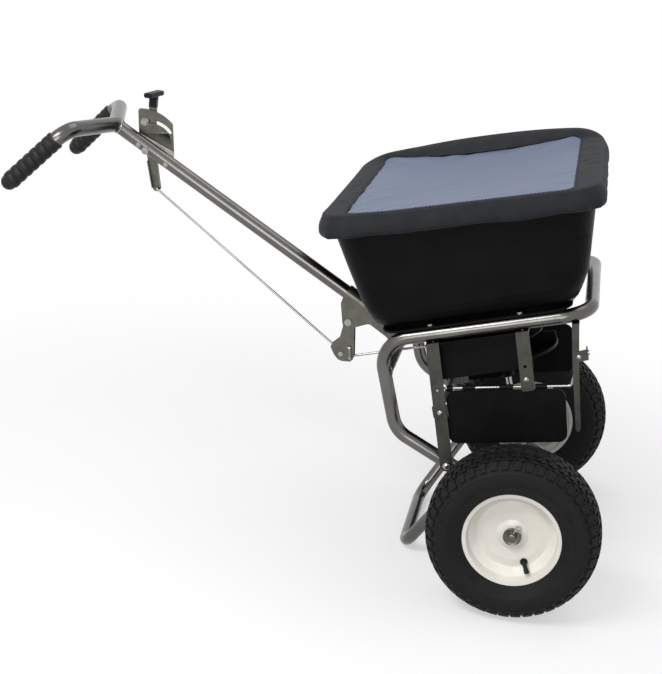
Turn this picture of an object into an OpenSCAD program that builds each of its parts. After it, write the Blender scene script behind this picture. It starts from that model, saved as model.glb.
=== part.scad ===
// Walk-behind broadcast spreader: hopper, tube frame, two air-tyred wheels, geared
// impeller, shutter worked by a hand lever, side deflectors and a fabric rain cover.
// X is forward, Y is to the operator's left, Z is up, the ground is at Z = 0.
// Most pieces are drawn in the chassis frame: its origin is the axle's middle and its
// Z is square to the frame rails. Handle pieces use u along the tube and v across it.

/* [Frame] */
// Outside diameter of the frame tube
frame_tube_d = 27; // [22:0.5:32]
// Wall of every bent tube
tube_wall = 1.5; // [1.2:0.1:3]
// Half the distance between the middles of the two rails
frame_half = 204; // [180:1:230]
// Height of the rails above the axle, square to the rails
rail_z = 369; // [340:1:400]
// Rear uprights behind the axle
frame_back = 209; // [190:1:230]
// Front crossing ahead of the axle
frame_front = 197; // [180:1:215]
// Height of the knee where the upright turns to the axle
knee_z = 186; // [160:1:210]
// Bend radius of the frame tube at its middle line
frame_bend = 58; // [45:1:70]
// Distance from the axle to the ends of the frame tube
foot_gap = 37.5; // [32:0.5:50]
// Lean of the rails, nose up, as it stands on its rest
frame_pitch = 15.5; // [10:0.5:20]
// Diameter of the rear cross tube
cross_tube_d = 25.4; // [20:0.1:27]
// Height of the rear cross tube
cross_tube_z = 306; // [280:1:330]
// Diameter of the rest tube
stand_tube_d = 25; // [20:0.5:28]
// How far the foot of the rest stands behind the axle
stand_back = 220; // [200:1:260]
// Half the width of the foot of the rest
stand_half = 130; // [100:1:170]
// Bend radius of the rest tube
stand_bend = 50; // [40:1:60]
// How far along the lower run the rest's legs are welded, from the axle
stand_joint = 111; // [95:1:140]

/* [Straps and plates] */
// Width of the flat straps
strap_w = 25; // [20:1:32]
// Thickness of straps, end plates and cheeks
strap_t = 3; // [2:0.5:4]
// Rear strap's upper end behind the axle
rear_strap_back = 105; // [95:1:115]
// Distance from the axle to the rear strap's lower bolt
strap_foot = 160.7; // [150:0.5:170]
// Height of the bolt that holds the cross stay
stay_z = 217; // [200:1:230]
// Short strap ahead of the axle
short_strap_x = 66; // [55:1:80]
// Height of the short strap's lower end
short_strap_end = 238; // [230:1:245]
// Height of the short strap's bolt
short_bolt_z = 262; // [257:1:270]
// Top of the front hanger ahead of the axle
hanger_x = 166; // [155:1:172]
// Thickness of the front hanger
hanger_t = 2; // [1.5:0.5:3]
// Thickness of the axle plates
axle_plate_t = 4; // [3:0.5:6]
// Free hole in each short strap, for hanging something on
strap_hole_d = 6.6; // [5:0.1:7]
// Shank diameter of the frame bolts
bolt_d = 8; // [6:0.5:9]

/* [Wheels] */
// Outside diameter of the tyre
tyre_d = 330; // [300:1:350]
// Width of the tyre
tyre_w = 124; // [110:1:130]
// Half the distance between the wheels' middle planes
track_half = 316.5; // [312:0.5:330]
// Diameter over the rim's flange
rim_d = 186; // [180:1:196]
// Width over the rim's flanges
rim_w = 90; // [80:1:96]
// Thickness of the tyre's side and tread
tyre_wall = 6.5; // [5:0.5:9]
// Depth of the tread grooves
groove_depth = 3; // [2:0.5:4]
// Axle diameter
axle_d = 16; // [14:0.5:18]
// Outside diameter of the wheel hub tube
hub_d = 29; // [27:0.5:34]
// How far the hub reaches outboard of the wheel's middle plane
hub_out = 25; // [20:1:30]

/* [Hopper] */
// Wall of the hopper
hopper_wall = 4; // [3:0.5:6]
// Half length of the hopper at its rim
rim_half_x = 247; // [240:1:250]
// Half width of the hopper at its rim
rim_half_y = 268; // [250:1:272]
// Height of the rim at the middle
rim_z = 622; // [600:1:640]
// Fall of the rim to the front for each mm of length
rim_fall = 0.033; // [0:0.001:0.05]
// How far the middle of the rim is behind the axle
rim_set_back = 6; // [3:1:8]
// Half length of the hopper just above the rails
seat_half_x = 181; // [172:1:184]
// Half width of the hopper just above the rails
seat_half_y = 190; // [186:1:192]
// How far the middle of the hopper's foot is behind the axle
seat_set_back = 19; // [15:1:20]
// Outward lip of the rim
rim_lip = 4; // [2:0.5:5]
// Radius of the round floor opening
throat_r = 80; // [74:1:86]
// Height of the underside of the floor plate
floor_z = 292; // [288:0.5:300]
// Thickness of the floor plate
floor_t = 4; // [3:0.5:6]

/* [Cover] */
// Gap between the hopper's lip and the cover's skirt
cover_gap = 3; // [2:0.5:6]
// Thickness of the cover's cloth as a solid
cloth_t = 2.5; // [2:0.5:4]
// How far the skirt hangs below the top's fold
skirt_drop = 36; // [28:1:45]
// Width of the cloth border around the window
border_w = 44; // [30:1:60]
// Rise of the cover's far edge, where the cloth stands proud
cover_crown = 12; // [0:1:20]

/* [Shutter and impeller] */
// Shutter plate thickness
shutter_t = 2.2; // [1.5:0.1:3]
// Half width of the shutter plate
shutter_half = 40; // [34:1:46]
// Length of each floor port
port_l = 30; // [20:1:33]
// Running gap around the shutter
shutter_gap = 0.3; // [0.2:0.05:0.5]
// Diameter of the impeller
impeller_d = 220; // [180:1:226]
// Height of the underside of the impeller's disc
impeller_z = 258; // [250:1:262]
// Thickness of the impeller's disc
impeller_t = 3; // [2:0.5:4]
// Height of the impeller's fins
fin_h = 21; // [12:1:22]
// Number of impeller fins
fin_count = 6; // [4:1:8]
// Impeller shaft diameter
shaft_d = 12; // [10:0.5:13]

/* [Gears] */
// Tooth module of the bevel pair
gear_module = 2; // [2:0.1:2.2]
// Teeth on the axle's bevel gear
gear_teeth = 36; // [36:12:36]
// Teeth on the shaft's pinion
pinion_teeth = 12; // [12:12:12]

/* [Handle] */
// Handle tube's outside diameter
handle_tube_d = 28; // [25:0.5:30]
// Handle tube's wall
handle_wall = 2; // [1.5:0.1:3]
// Length of the handle tube from the handlebar's middle
handle_l = 712; // [705:1:714]
// Slope of the handle below level, as it stands
handle_slope = 30.25; // [25:0.25:35]
// Distance behind the axle of the handle's upper end
handle_back = 903.7; // [850:0.1:950]
// Height of the handle's upper end above the axle
handle_up = 621.4; // [580:0.1:660]
// Handlebar tube's outside diameter
bar_d = 31; // [28:0.5:33]
// Bend radius of the handlebar
bar_bend = 44; // [38:1:52]
// Grip length
grip_l = 126; // [100:1:140]
// Ribs along a grip
grip_ribs = 7; // [4:1:9]

/* [Lever and linkage] */
// Lever strap width
lever_w = 22; // [18:1:26]
// Lever thickness
lever_t = 3; // [2:0.5:4]
// Reach of the lever from its pivot to the knob
lever_up = 96; // [85:1:110]
// Length of the lever's T knob
knob_l = 54; // [40:1:60]
// Width of the lever's T knob
knob_w = 18; // [16:1:30]
// Turn of the T knob on its shank
knob_yaw = 10; // [0:5:45]
// Radius of the stop's slot about the lever's pivot
slot_r = 54.5; // [50:0.5:58]
// Width of the stop's slot
slot_w = 7; // [5:0.5:9]
// Gauge plate thickness
gauge_t = 2.5; // [2:0.5:4]
// Control rod diameter
rod_d = 5; // [4:0.5:6]
// Deflector hinge wire diameter
wire_d = 5; // [4:0.5:6]
// Deflector plate thickness
deflector_t = 3; // [2:0.5:4]
// Depth of the deflector plates below their hinge
deflector_h = 113; // [90:1:116]

/* [Clearances] */
// Radial running clearance of a pin or shaft in its bore
run = 0.08; // [0.03:0.01:0.1]
// Radial clearance of a bolt in its hole
bolt_gap = 0.25; // [0.1:0.05:0.5]
// Extra radius in the two eyes where the linkage loops are opened
open_eye = 1.5; // [1.2:0.1:2]
// End play between faces that turn on each other
play = 0.4; // [0.2:0.1:0.8]
// Gap between soft or loose pieces and what they rest on
seat_gap = 0.3; // [0.2:0.1:0.6]

/* [Hidden] */
$fn = 64;
steel = [0.77, 0.77, 0.76];
bright = [0.85, 0.85, 0.85];
black = [0.10, 0.10, 0.11];
// A straight run is this much thinner than its bends and sinks this far into them
hair = 0.1;
sink = 1;
tube_r = frame_tube_d / 2;
tyre_r = tyre_d / 2;
// Grip ends are the rearmost points and the tyres the foremost, so X = 0 is between them
bar_end = [-handle_back - 150.9, 190, handle_up - 98];
bar_knee = [-handle_back - 46, 165, handle_up + 10.6];
grip_r = bar_d / 2 + 1.3;
grip_rib = 1.6;
axle_x = (-(bar_end.x - grip_r) - tyre_r) / 2;
foot_dir = [-frame_back, 0, knee_z] / norm([frame_back, knee_z]);
outer_y = frame_half + tube_r;
inner_y = frame_half - tube_r;
rail_low = rail_z - tube_r;
strap_foot_at = [foot_dir.x, foot_dir.z] * strap_foot;
strap_top_at = [-rear_strap_back, rail_low];
function strap_x(z) = strap_foot_at.x + (strap_top_at.x - strap_foot_at.x) * (z - strap_foot_at.y)
    / (strap_top_at.y - strap_foot_at.y);
stay_x = strap_x(stay_z);
wire_end_x = strap_x(262);
wire_r = wire_d / 2;
wire_y = frame_half + 6;
wire_slope = 6.13;
wire_z0 = 250.1;
function wire_z(x) = wire_z0 - x * tan(wire_slope);
shroud_y = inner_y - 3;
shroud_t = 3;
shroud_back = 116;
shroud_top = rail_low - strap_t;
shaft_r = shaft_d / 2;
axle_r = axle_d / 2;
axle_half = track_half + hub_out + 10.5;
shutter_top = floor_z - shutter_gap;
shutter_low = shutter_top - shutter_t;
link_z = 286;
arm_pivot = [-304, 364];
clevis_at = [-333.7, 297.5];
low_pin = [-317, link_z];
arm_in = 8;
arm_t = 2.5;
saddle_in = handle_tube_d / 2 + 0.4;
saddle_out = saddle_in + strap_t;
lever_pivot = [82, -4];
lever_pin = [136.5, -66.1];
lever_y = 21;
gauge_y = handle_tube_d / 2;
gauge_step = 3.5;
gauge_at = [64, 132];
gauge_v = -2.5;

function unit(v) = v / norm(v);
function side_of(d) = abs(d.y) < 0.9 * norm(d) ? [0, 1, 0] : [1, 0, 0];
function axes(x, y, z, o) =
    [[x.x, y.x, z.x, o.x], [x.y, y.y, z.y, o.y], [x.z, y.z, z.z, o.z], [0, 0, 0, 1]];
function bend_angle(a, p, b) = acos(unit(p - a) * unit(b - p));
function bend_reach(a, p, b, bend) = bend * tan(bend_angle(a, p, b) / 2);
function mirror_y(p) = [p.x, -p.y, p.z];
// Chassis place of a point given in the standing frame, both from the axle
function to_chassis(p) = [p.x * cos(frame_pitch) + p.z * sin(frame_pitch), p.y,
    -p.x * sin(frame_pitch) + p.z * cos(frame_pitch)];
function from_chassis(p) = [p.x * cos(frame_pitch) - p.z * sin(frame_pitch), p.y,
    p.x * sin(frame_pitch) + p.z * cos(frame_pitch)];
// Chassis place of a handle point [u, y, v]
function handle_point(p) = to_chassis([-handle_back + p.x * cos(handle_slope) + p.z * sin(handle_slope),
    p.y, handle_up - p.x * sin(handle_slope) + p.z * cos(handle_slope)]);

// Handle place [u, v] of a chassis point [x, z]
function to_handle(p) = let (s = from_chassis([p.x, 0, p.y]), x = s.x + handle_back, z = s.z - handle_up)
    [x * cos(handle_slope) - z * sin(handle_slope), x * sin(handle_slope) + z * cos(handle_slope)];
cross_tube_x = 2 - frame_back;
cross_at_handle = to_handle([cross_tube_x, cross_tube_z]);
arm_pivot_uv = to_handle(arm_pivot);

module standing() { translate([axle_x, 0, tyre_r]) children(); }
module chassis() { standing() rotate([0, -frame_pitch, 0]) children(); }
module handle_frame() { standing() translate([-handle_back, 0, handle_up]) rotate([0, handle_slope, 0]) children(); }
module pair() { children(); mirror([0, 1, 0]) children(); }
// A flat profile of X and Z, t thick from y0 on
module plate(y0, t) { translate([0, y0 + t, 0]) rotate([90, 0, 0]) linear_extrude(t) children(); }
module pin_y(at, y0, y1, r) { translate([at.x, y0, at.y]) rotate([-90, 0, 0]) cylinder(r = r, h = y1 - y0); }
module pin_z(at, z0, z1, r) { translate([at.x, at.y, z0]) cylinder(r = r, h = z1 - z0); }
module hex_y(at, y0, y1, r) { translate([at.x, y0, at.y]) rotate([-90, 0, 0]) cylinder(r = r, h = y1 - y0, $fn = 6); }
// Bolt along Y: shank between the faces y0 and y1, round head outside y1, nut below y0
module bolt_y(at, y0, y1, d) {
    pin_y(at, y0 - d, y1 + 0.2 * d, d / 2);
    pin_y(at, y1, y1 + 0.55 * d, 0.9 * d);
    hex_y(at, y0 - 0.75 * d, y0, 0.92 * d);
}
module straight(a, b, r) {
    z = unit(b - a);
    y = unit(cross(z, side_of(z)));
    multmatrix(axes(cross(y, z), y, z, a)) rotate([0, 0, 40]) cylinder(r = r, h = norm(b - a));
}
module bend_at(a, p, b, bend, r) {
    d = unit(p - a);
    n = unit(unit(b - p) - (unit(b - p) * d) * d);
    start = p - bend_reach(a, p, b, bend) * d;
    multmatrix(axes(-n, d, cross(d, n), start + bend * n))
        rotate_extrude(angle = bend_angle(a, p, b)) translate([bend, 0]) circle(r);
}
// A round bar along points, with a bend of one radius at each inner point
module rod_along(pts, bend, r) {
    n = len(pts) - 1;
    for (i = [0 : n - 1]) {
        d = unit(pts[i + 1] - pts[i]);
        cut_a = i == 0 ? 0 : bend_reach(pts[i - 1], pts[i], pts[i + 1], bend) - sink;
        cut_b = i == n - 1 ? 0 : bend_reach(pts[i], pts[i + 1], pts[i + 2], bend) - sink;
        straight(pts[i] + cut_a * d, pts[i + 1] - cut_b * d, r - hair);
    }
    for (i = [1 : n - 1]) bend_at(pts[i - 1], pts[i], pts[i + 1], bend, r);
}
module tube_along(pts, bend, r, wall) {
    difference() {
        rod_along(pts, bend, r);
        rod_along(concat([pts[0] - unit(pts[1] - pts[0])], [for (i = [1 : len(pts) - 2]) pts[i]],
            [pts[len(pts) - 1] + unit(pts[len(pts) - 1] - pts[len(pts) - 2])]), bend, r - wall);
    }
}
// Flat shape round two discs of different size
module link_shape(a, ra, b, rb) {
    gap = norm(b - a);
    lead = atan2(b.y - a.y, b.x - a.x);
    turn = acos((ra - rb) / gap);
    translate(a) circle(ra);
    translate(b) circle(rb);
    polygon([a + (ra - hair) * [cos(lead + turn), sin(lead + turn)],
        b + (rb - hair) * [cos(lead + turn), sin(lead + turn)],
        b + (rb - hair) * [cos(lead - turn), sin(lead - turn)],
        a + (ra - hair) * [cos(lead - turn), sin(lead - turn)]]);
}
// Rectangle with round corners from exact pieces
module round_box(x0, y0, x1, y1, r) {
    translate([x0 + r, y0]) square([x1 - x0 - 2 * r, y1 - y0]);
    translate([x0, y0 + r]) square([x1 - x0, y1 - y0 - 2 * r]);
    for (x = [x0 + r, x1 - r], y = [y0 + r, y1 - r]) translate([x, y]) circle(r);
}

function hoop_points() = let (low = foot_dir * foot_gap) [
    [low.x, -frame_half, low.z], [-frame_back, -frame_half, knee_z], [-frame_back, -frame_half, rail_z],
    [frame_front, -frame_half, rail_z], [frame_front, frame_half, rail_z],
    [-frame_back, frame_half, rail_z], [-frame_back, frame_half, knee_z], [low.x, frame_half, low.z]];
rail_bolts = [[-rear_strap_back, frame_half], [short_strap_x, frame_half]];
axle_bolts = [for (s = [52, 84]) [foot_dir.x, foot_dir.z] * s];
module side_cuts(gap) {
    for (at = rail_bolts) pin_z(at, shroud_top - 5, rail_z + tube_r + 10, bolt_d / 2 + gap);
    pin_y(strap_foot_at, inner_y - 5, outer_y + 5, bolt_d / 2 + gap);
    for (at = axle_bolts) pin_y(at, inner_y - 9, outer_y + 5, bolt_d / 2 + gap);
}
module frame_hoop() {
    color(steel) chassis() difference() {
        tube_along(hoop_points(), frame_bend, tube_r, tube_wall);
        pair() side_cuts(bolt_gap);
    }
}
module rear_cross_tube() {
    color(steel) chassis() difference() {
        pin_y([cross_tube_x, cross_tube_z], -frame_half, frame_half, cross_tube_d / 2);
        pin_y([cross_tube_x, cross_tube_z], -frame_half - 1, frame_half + 1, cross_tube_d / 2 - tube_wall);
        pair() rod_along([[-frame_back, frame_half, knee_z + 60], [-frame_back, frame_half, rail_z],
            [0, frame_half, rail_z]], frame_bend, tube_r);
    }
}
function stand_points() = let (top = from_chassis([foot_dir.x * stand_joint, frame_half, foot_dir.z * stand_joint]),
    low = [-stand_back, stand_half, stand_tube_d / 2 - tyre_r])
    [mirror_y(top), mirror_y(low), low, top];
module stand_tube() {
    color(steel) standing() difference() {
        tube_along(stand_points(), stand_bend, stand_tube_d / 2, tube_wall);
        rotate([0, -frame_pitch, 0]) pair() straight([0, frame_half, 0] + foot_dir * (foot_gap + 20),
            [0, frame_half, 0] + foot_dir * 220, tube_r);
    }
}
module rear_straps() {
    lean = atan2(strap_foot_at.x - strap_top_at.x, strap_top_at.y - strap_foot_at.y);
    color(steel) chassis() pair() difference() {
        union() {
            difference() {
                plate(outer_y, strap_t) translate(strap_foot_at) rotate(lean) {
                    translate([-strap_w / 2 + hair, 0]) square([strap_w - 2 * hair, 270]);
                    circle(d = strap_w);
                }
                translate([-200, 190, rail_low]) cube([200, 50, 60]);
            }
            translate([-rear_strap_back - strap_w / 2, frame_half - 12, rail_low - strap_t])
                cube([strap_w, outer_y + strap_t - frame_half + 12, strap_t]);
        }
        side_cuts(bolt_gap);
        pin_y([stay_x, stay_z], outer_y - 1, outer_y + 5, 3 + bolt_gap);
        pin_y([wire_end_x, wire_z(wire_end_x)], outer_y - 1, outer_y + 5, wire_r + bolt_gap);
    }
}
module short_straps() {
    color(steel) chassis() pair() difference() {
        union() {
            translate([short_strap_x - strap_w / 2, frame_half - 12, rail_low - strap_t])
                cube([strap_w, outer_y + strap_t - frame_half + 12, strap_t]);
            plate(outer_y, strap_t) polygon([[short_strap_x - strap_w / 2, rail_low],
                [short_strap_x - 6 - strap_w / 2, short_strap_end + 4], [short_strap_x - 3 - strap_w / 2, short_strap_end],
                [short_strap_x - 9 + strap_w / 2, short_strap_end], [short_strap_x - 6 + strap_w / 2, short_strap_end + 4],
                [short_strap_x + strap_w / 2, rail_low]]);
        }
        side_cuts(bolt_gap);
        pin_y([short_strap_x - 6, short_bolt_z], outer_y - 1, outer_y + 5, 3 + bolt_gap);
        pin_y([short_strap_x - 4.5, short_bolt_z + 25], outer_y - 1, outer_y + 5, strap_hole_d / 2);
    }
}
hanger_y = wire_y + wire_r;
module front_hanger() {
    color(bright) chassis() mirror([0, 1, 0]) difference() {
        union() {
            plate(hanger_y, hanger_t) polygon([[hanger_x - 7, rail_low], [hanger_x + 7, rail_low],
                [hanger_x - 7, 262], [hanger_x - 21, 146], [hanger_x - 26, 142], [hanger_x - 30, 146], [hanger_x - 19, 262]]);
            translate([hanger_x - 7, frame_half - 8, rail_low - hanger_t])
                cube([14, hanger_y + hanger_t - frame_half + 8, hanger_t]);
            plate(hanger_y + hanger_t, hanger_t) polygon([[155, 281], [180, 283], [180, 304], [159, 302]]);
            translate([178, hanger_y - 18, 284]) cube([2, 22, 20]);
        }
        pin_y([hanger_x - 3, 292], hanger_y - 1, hanger_y + 5, 2.5 + bolt_gap);
    }
}
module axle_plates() {
    color(steel) chassis() pair() difference() {
        plate(inner_y - axle_plate_t, axle_plate_t) link_shape([0, 0], 22, axle_bolts[1], 14);
        pin_y([0, 0], inner_y - 10, inner_y + 5, axle_r + 4);
        side_cuts(bolt_gap);
    }
}
module axle_bushes() {
    color([0.9, 0.9, 0.86]) chassis() pair() difference() {
        union() {
            pin_y([0, 0], inner_y - axle_plate_t - 3, inner_y + 6, axle_r + 4 - 0.05);
            pin_y([0, 0], inner_y - axle_plate_t - 3, inner_y - axle_plate_t, axle_r + 8);
        }
        pin_y([0, 0], inner_y - 20, inner_y + 20, axle_r + run);
    }
}

// Rounded rectangle as points: half sizes, corner radius, height, fall to the front and place of its middle
ring_steps = 8;
function ring(hx, hy, r, z, fall, at = 0) = [for (c = [0 : 3], k = [0 : ring_steps])
    let (a = c * 90 + k * 90 / ring_steps,
        x = at + (c == 0 || c == 3 ? 1 : -1) * (hx - r) + r * cos(a),
        y = (c < 2 ? 1 : -1) * (hy - r) + r * sin(a)) [x, y, z - fall * x]];
// Closed skin through rings of equal length, the last joined to the first
module skin(rings) {
    m = len(rings);
    n = len(rings[0]);
    polyhedron([for (q = rings) each q], [for (i = [0 : m - 1], j = [0 : n - 1], h = [0, 1])
        let (a = i * n + j, b = i * n + (j + 1) % n, c = ((i + 1) % m) * n + (j + 1) % n, d = ((i + 1) % m) * n + j)
        h == 0 ? [a, c, b] : [a, d, c]], convexity = 10);
}
seat_z = rail_z + tube_r;
funnel_x = 136;
funnel_y = inner_y - 12;
// The wall's profile from the foot to the rim: shares of the height, length and width gained, and the corner
wall_profile = [[0.016, 0.09, 0.013, 34], [0.07, 0.2, 0.286, 36], [0.13, 0.3, 0.416, 38], [0.195, 0.4, 0.494, 40],
    [0.27, 0.51, 0.532, 42], [0.42, 0.63, 0.61, 46], [0.63, 0.777, 0.714, 50]];
// A ring of the wall at given shares, set in by the wall's thickness
function wall_ring(q, inset) = let (low = seat_z + hopper_wall)
    ring(seat_half_x + q[1] * (rim_half_x - seat_half_x) - inset, seat_half_y + q[2] * (rim_half_y - seat_half_y) - inset,
        q[3] - inset, low + q[0] * (rim_z - 12 - low), 0, -seat_set_back + q[1] * (seat_set_back - rim_set_back));
// A ring near the rim, grown by a given amount
function rim_ring(grow, r, low) =
    ring(rim_half_x + grow, rim_half_y + grow, r, rim_z - low, rim_fall, -rim_set_back);
module hopper() {
    w = hopper_wall;
    n = len(wall_profile) - 1;
    back = -seat_set_back;
    color(black) chassis() difference() {
        skin(concat([
            ring(throat_r, throat_r, throat_r - 4, floor_z + floor_t, 0),
            ring(funnel_x, funnel_y, 45, seat_z - 0.5, 0),
            ring(funnel_x + 4, funnel_y + 2, 45, seat_z, 0),
            ring(seat_half_x + 2, frame_half + 10, 42, seat_z, 0, back),
            ring(seat_half_x + 2, frame_half + 10, 42, seat_z + w, 0, back),
            ring(seat_half_x, seat_half_y, 34, seat_z + w, 0, back)],
            [for (q = wall_profile) wall_ring(q, 0)], [
            rim_ring(-2.5, 55, 26), rim_ring(0, 57, 12), rim_ring(rim_lip, 59, 9), rim_ring(rim_lip, 59, 0),
            rim_ring(-w, 54, 0), rim_ring(-w - 2, 52, 16)],
            [for (i = [0 : n]) wall_ring(wall_profile[n - i], w)], [
            ring(seat_half_x - w, seat_half_y - w, 30, seat_z + w + 1, 0, back),
            ring(funnel_x + 1, funnel_y + 1, 41, seat_z + w, 0),
            ring(funnel_x - w, funnel_y - w, 41, seat_z - 0.5, 0),
            ring(throat_r - w, throat_r - w, throat_r - w - 4, floor_z + floor_t, 0)]));
        pair() for (at = rail_bolts) pin_z(at, seat_z - 2, seat_z + w + 3, bolt_d / 2 + bolt_gap);
    }
}
port_y = 14;
port_x = 15;
shutter_tail = -128;
module floor_plate() {
    guide_y = shutter_half + 0.3;
    guide_x = 96;
    color(black) chassis() difference() {
        union() {
            pin_z([0, 0], floor_z, floor_z + floor_t, throat_r + 4);
            pair() {
                translate([-70, guide_y, shutter_low - 2.5]) cube([130, 6, floor_z - shutter_low + 2.5]);
                translate([-70, guide_y - 4, shutter_low - 2.5]) cube([130, 5, 2.5 - shutter_gap]);
            }
        }
        pin_z([0, 0], floor_z - 1, floor_z + floor_t + 1, shaft_r + 3);
        pair() translate([port_x, port_y, floor_z - 1]) cube([port_l, shutter_half - port_y - 6, floor_t + 2]);
    }
}
module shutter() {
    ear_y = rod_d / 2 + 1.5;
    color(bright) chassis() difference() {
        union() {
            translate([-70, -shutter_half, shutter_low]) cube([140, 2 * shutter_half, shutter_t]);
            translate([shutter_tail - 4, -12, shutter_low]) cube([-70 - shutter_tail + 5, 24, shutter_t]);
            pair() plate(ear_y, 2) round_box(shutter_tail - 4, link_z - 5, shutter_tail + 8, shutter_low + 1, 3);
            pin_y([shutter_tail + 2, link_z], -ear_y - 3, ear_y + 3, rod_d / 2);
        }
        translate([-shaft_r - 3, -shaft_r - 2, shutter_low - 1]) cube([port_l + shaft_r * 2 + 24, 2 * shaft_r + 4, shutter_t + 2]);
        translate([shutter_tail - 6, -ear_y, shutter_low - 1]) cube([16, 2 * ear_y, shutter_t + 2]);
        pair() translate([port_x, port_y, shutter_low - 1]) cube([port_l, shutter_half - port_y - 6, shutter_t + 2]);
    }
}
module impeller_shroud() {
    low = 272;
    color(black) chassis() difference() {
        union() {
            pair() {
                plate(shroud_y, shroud_t) polygon([[-shroud_back, low], [short_strap_x + 8, low + 2],
                    [short_strap_x + 8, shroud_top], [-shroud_back, shroud_top]]);
                translate([-shroud_back, shroud_y, shroud_top - shroud_t])
                    cube([short_strap_x + 8 + shroud_back, frame_half + 10 - shroud_y, shroud_t]);
            }
            translate([-shroud_back - shroud_t, -shroud_y - shroud_t, low])
                cube([shroud_t + hair, 2 * (shroud_y + shroud_t), shroud_top - low - 9]);
        }
        translate([-shroud_back - shroud_t - 1, -34, low - 1]) cube([shroud_t + 2, 68, 27]);
        pair() side_cuts(bolt_gap);
    }
}
function wire_points() = [[wire_end_x, outer_y + strap_t + 3, wire_z(wire_end_x)], [wire_end_x, wire_y, wire_z(wire_end_x)],
    [140, wire_y, wire_z(140)], [151.2, wire_y, wire_z(140) + 26.5]];
module deflector_rods() {
    color(bright) chassis() pair() rod_along(wire_points(), 7, wire_r);
}
module rod_clips() {
    at = [short_strap_x - 6, wire_z(short_strap_x - 6)];
    color(steel) chassis() pair() difference() {
        union() {
            translate([at.x, wire_y, at.y]) rotate([0, 90 + wire_slope, 0]) translate([0, 0, -6]) cylinder(r = wire_r + 2.5, h = 12);
            plate(outer_y - 2.5, 2.5) round_box(at.x - 8, at.y - 4, at.x + 8, short_bolt_z + 8, 3);
            translate([at.x - 6, wire_y + 1, at.y - 2]) cube([12, outer_y - wire_y - 2, 4]);
        }
        translate([at.x, wire_y, at.y]) rotate([0, 90 + wire_slope, 0]) translate([0, 0, -20]) cylinder(r = wire_r + run, h = 40);
        pin_y([at.x, short_bolt_z], outer_y - 5, outer_y + 5, 3 + bolt_gap);
    }
}
module frame_bolts() {
    color(bright) chassis() pair() {
        for (at = rail_bolts) {
            pin_z(at, shroud_top - shroud_t - 6, seat_z + hopper_wall + 1, bolt_d / 2);
            pin_z(at, seat_z + hopper_wall, seat_z + hopper_wall + 4, bolt_d * 0.85);
            translate([at.x, at.y, shroud_top - shroud_t - 6.5]) cylinder(r = bolt_d * 0.9, h = 6.5, $fn = 6);
        }
        bolt_y(strap_foot_at, inner_y, outer_y + strap_t, bolt_d);
        for (at = axle_bolts) bolt_y(at, inner_y - axle_plate_t, outer_y, bolt_d);
        bolt_y([stay_x, stay_z], outer_y - strap_t, outer_y + strap_t, 6);
        bolt_y([short_strap_x - 6, short_bolt_z], outer_y - 2.5, outer_y + strap_t, 6);
    }
    color(bright) chassis() mirror([0, 1, 0]) {
        pin_y([hanger_x - 3, 292], hanger_y - 3, hanger_y + 2 * hanger_t + 2.5, 2.5);
        pin_y([hanger_x - 3, 292], hanger_y + 2 * hanger_t, hanger_y + 2 * hanger_t + 2.5, 4.5);
        hex_y([hanger_x - 3, 292], hanger_y - 3.5, hanger_y, 4.6);
        translate([180, hanger_y - 8, 294]) rotate([0, 90, 0]) cylinder(r = 4.5, h = 3);
    }
}
module cross_stay() {
    color(steel) chassis() difference() {
        union() {
            translate([stay_x - 1.5, -outer_y + strap_t, stay_z - 8]) cube([3, 2 * (outer_y - strap_t), 16]);
            pair() plate(outer_y - strap_t, strap_t) round_box(stay_x - 15, stay_z - 13, stay_x + 15, stay_z + 13, 4);
        }
        pair() pin_y([stay_x, stay_z], outer_y - 12, outer_y + 1, 3 + bolt_gap);
        pair() translate([stay_x, outer_y - strap_t - 9, stay_z]) rotate([-90, 0, 0]) cylinder(r = 6.2, h = 9);
    }
}
steady_z = 211;
module steady_block() {
    color([0.6, 0.6, 0.58]) chassis() difference() {
        translate([stay_x + 1.5, -15, steady_z - 10]) cube([32, 30, 20]);
        for (i = [0 : 3]) translate([stay_x + 6 + i * 8, -16, steady_z + 8]) cube([3.5, 32, 3]);
        for (i = [0 : 3]) translate([stay_x + 6 + i * 8, -16, steady_z - 11]) cube([3.5, 2.5, 22]);
    }
}
module steady_arm() {
    color(black) chassis() difference() {
        union() {
            translate([stay_x + 33.5, -9, steady_z - 5]) cube([-stay_x - 33.5 - shaft_r - 3, 18, 10]);
            translate([stay_x + 33.5, -2, steady_z - 9]) cube([-stay_x - 33.5 - shaft_r - 4, 4, 18]);
            pin_z([0, 0], steady_z - 9, steady_z + 9, shaft_r + 7);
        }
        pin_z([0, 0], steady_z - 12, steady_z + 12, shaft_r + run);
    }
}
module handle_tube() {
    color(steel) difference() {
        handle_frame() difference() {
            translate([2, 0, 0]) rotate([0, 90, 0]) cylinder(r = handle_tube_d / 2, h = handle_l - 2);
            translate([1, 0, 0]) rotate([0, 90, 0]) cylinder(r = handle_tube_d / 2 - handle_wall, h = handle_l);
            pin_y([696, -6], -30, 30, bolt_d / 2 + bolt_gap);
            pin_y(lever_pivot, -30, 30, 4 + bolt_gap);
            for (u = gauge_at) pin_y([u, gauge_v], -30, 30, 2.5 + bolt_gap);
        }
        standing() rod_along(bar_points(), bar_bend, bar_d / 2);
    }
}
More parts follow.
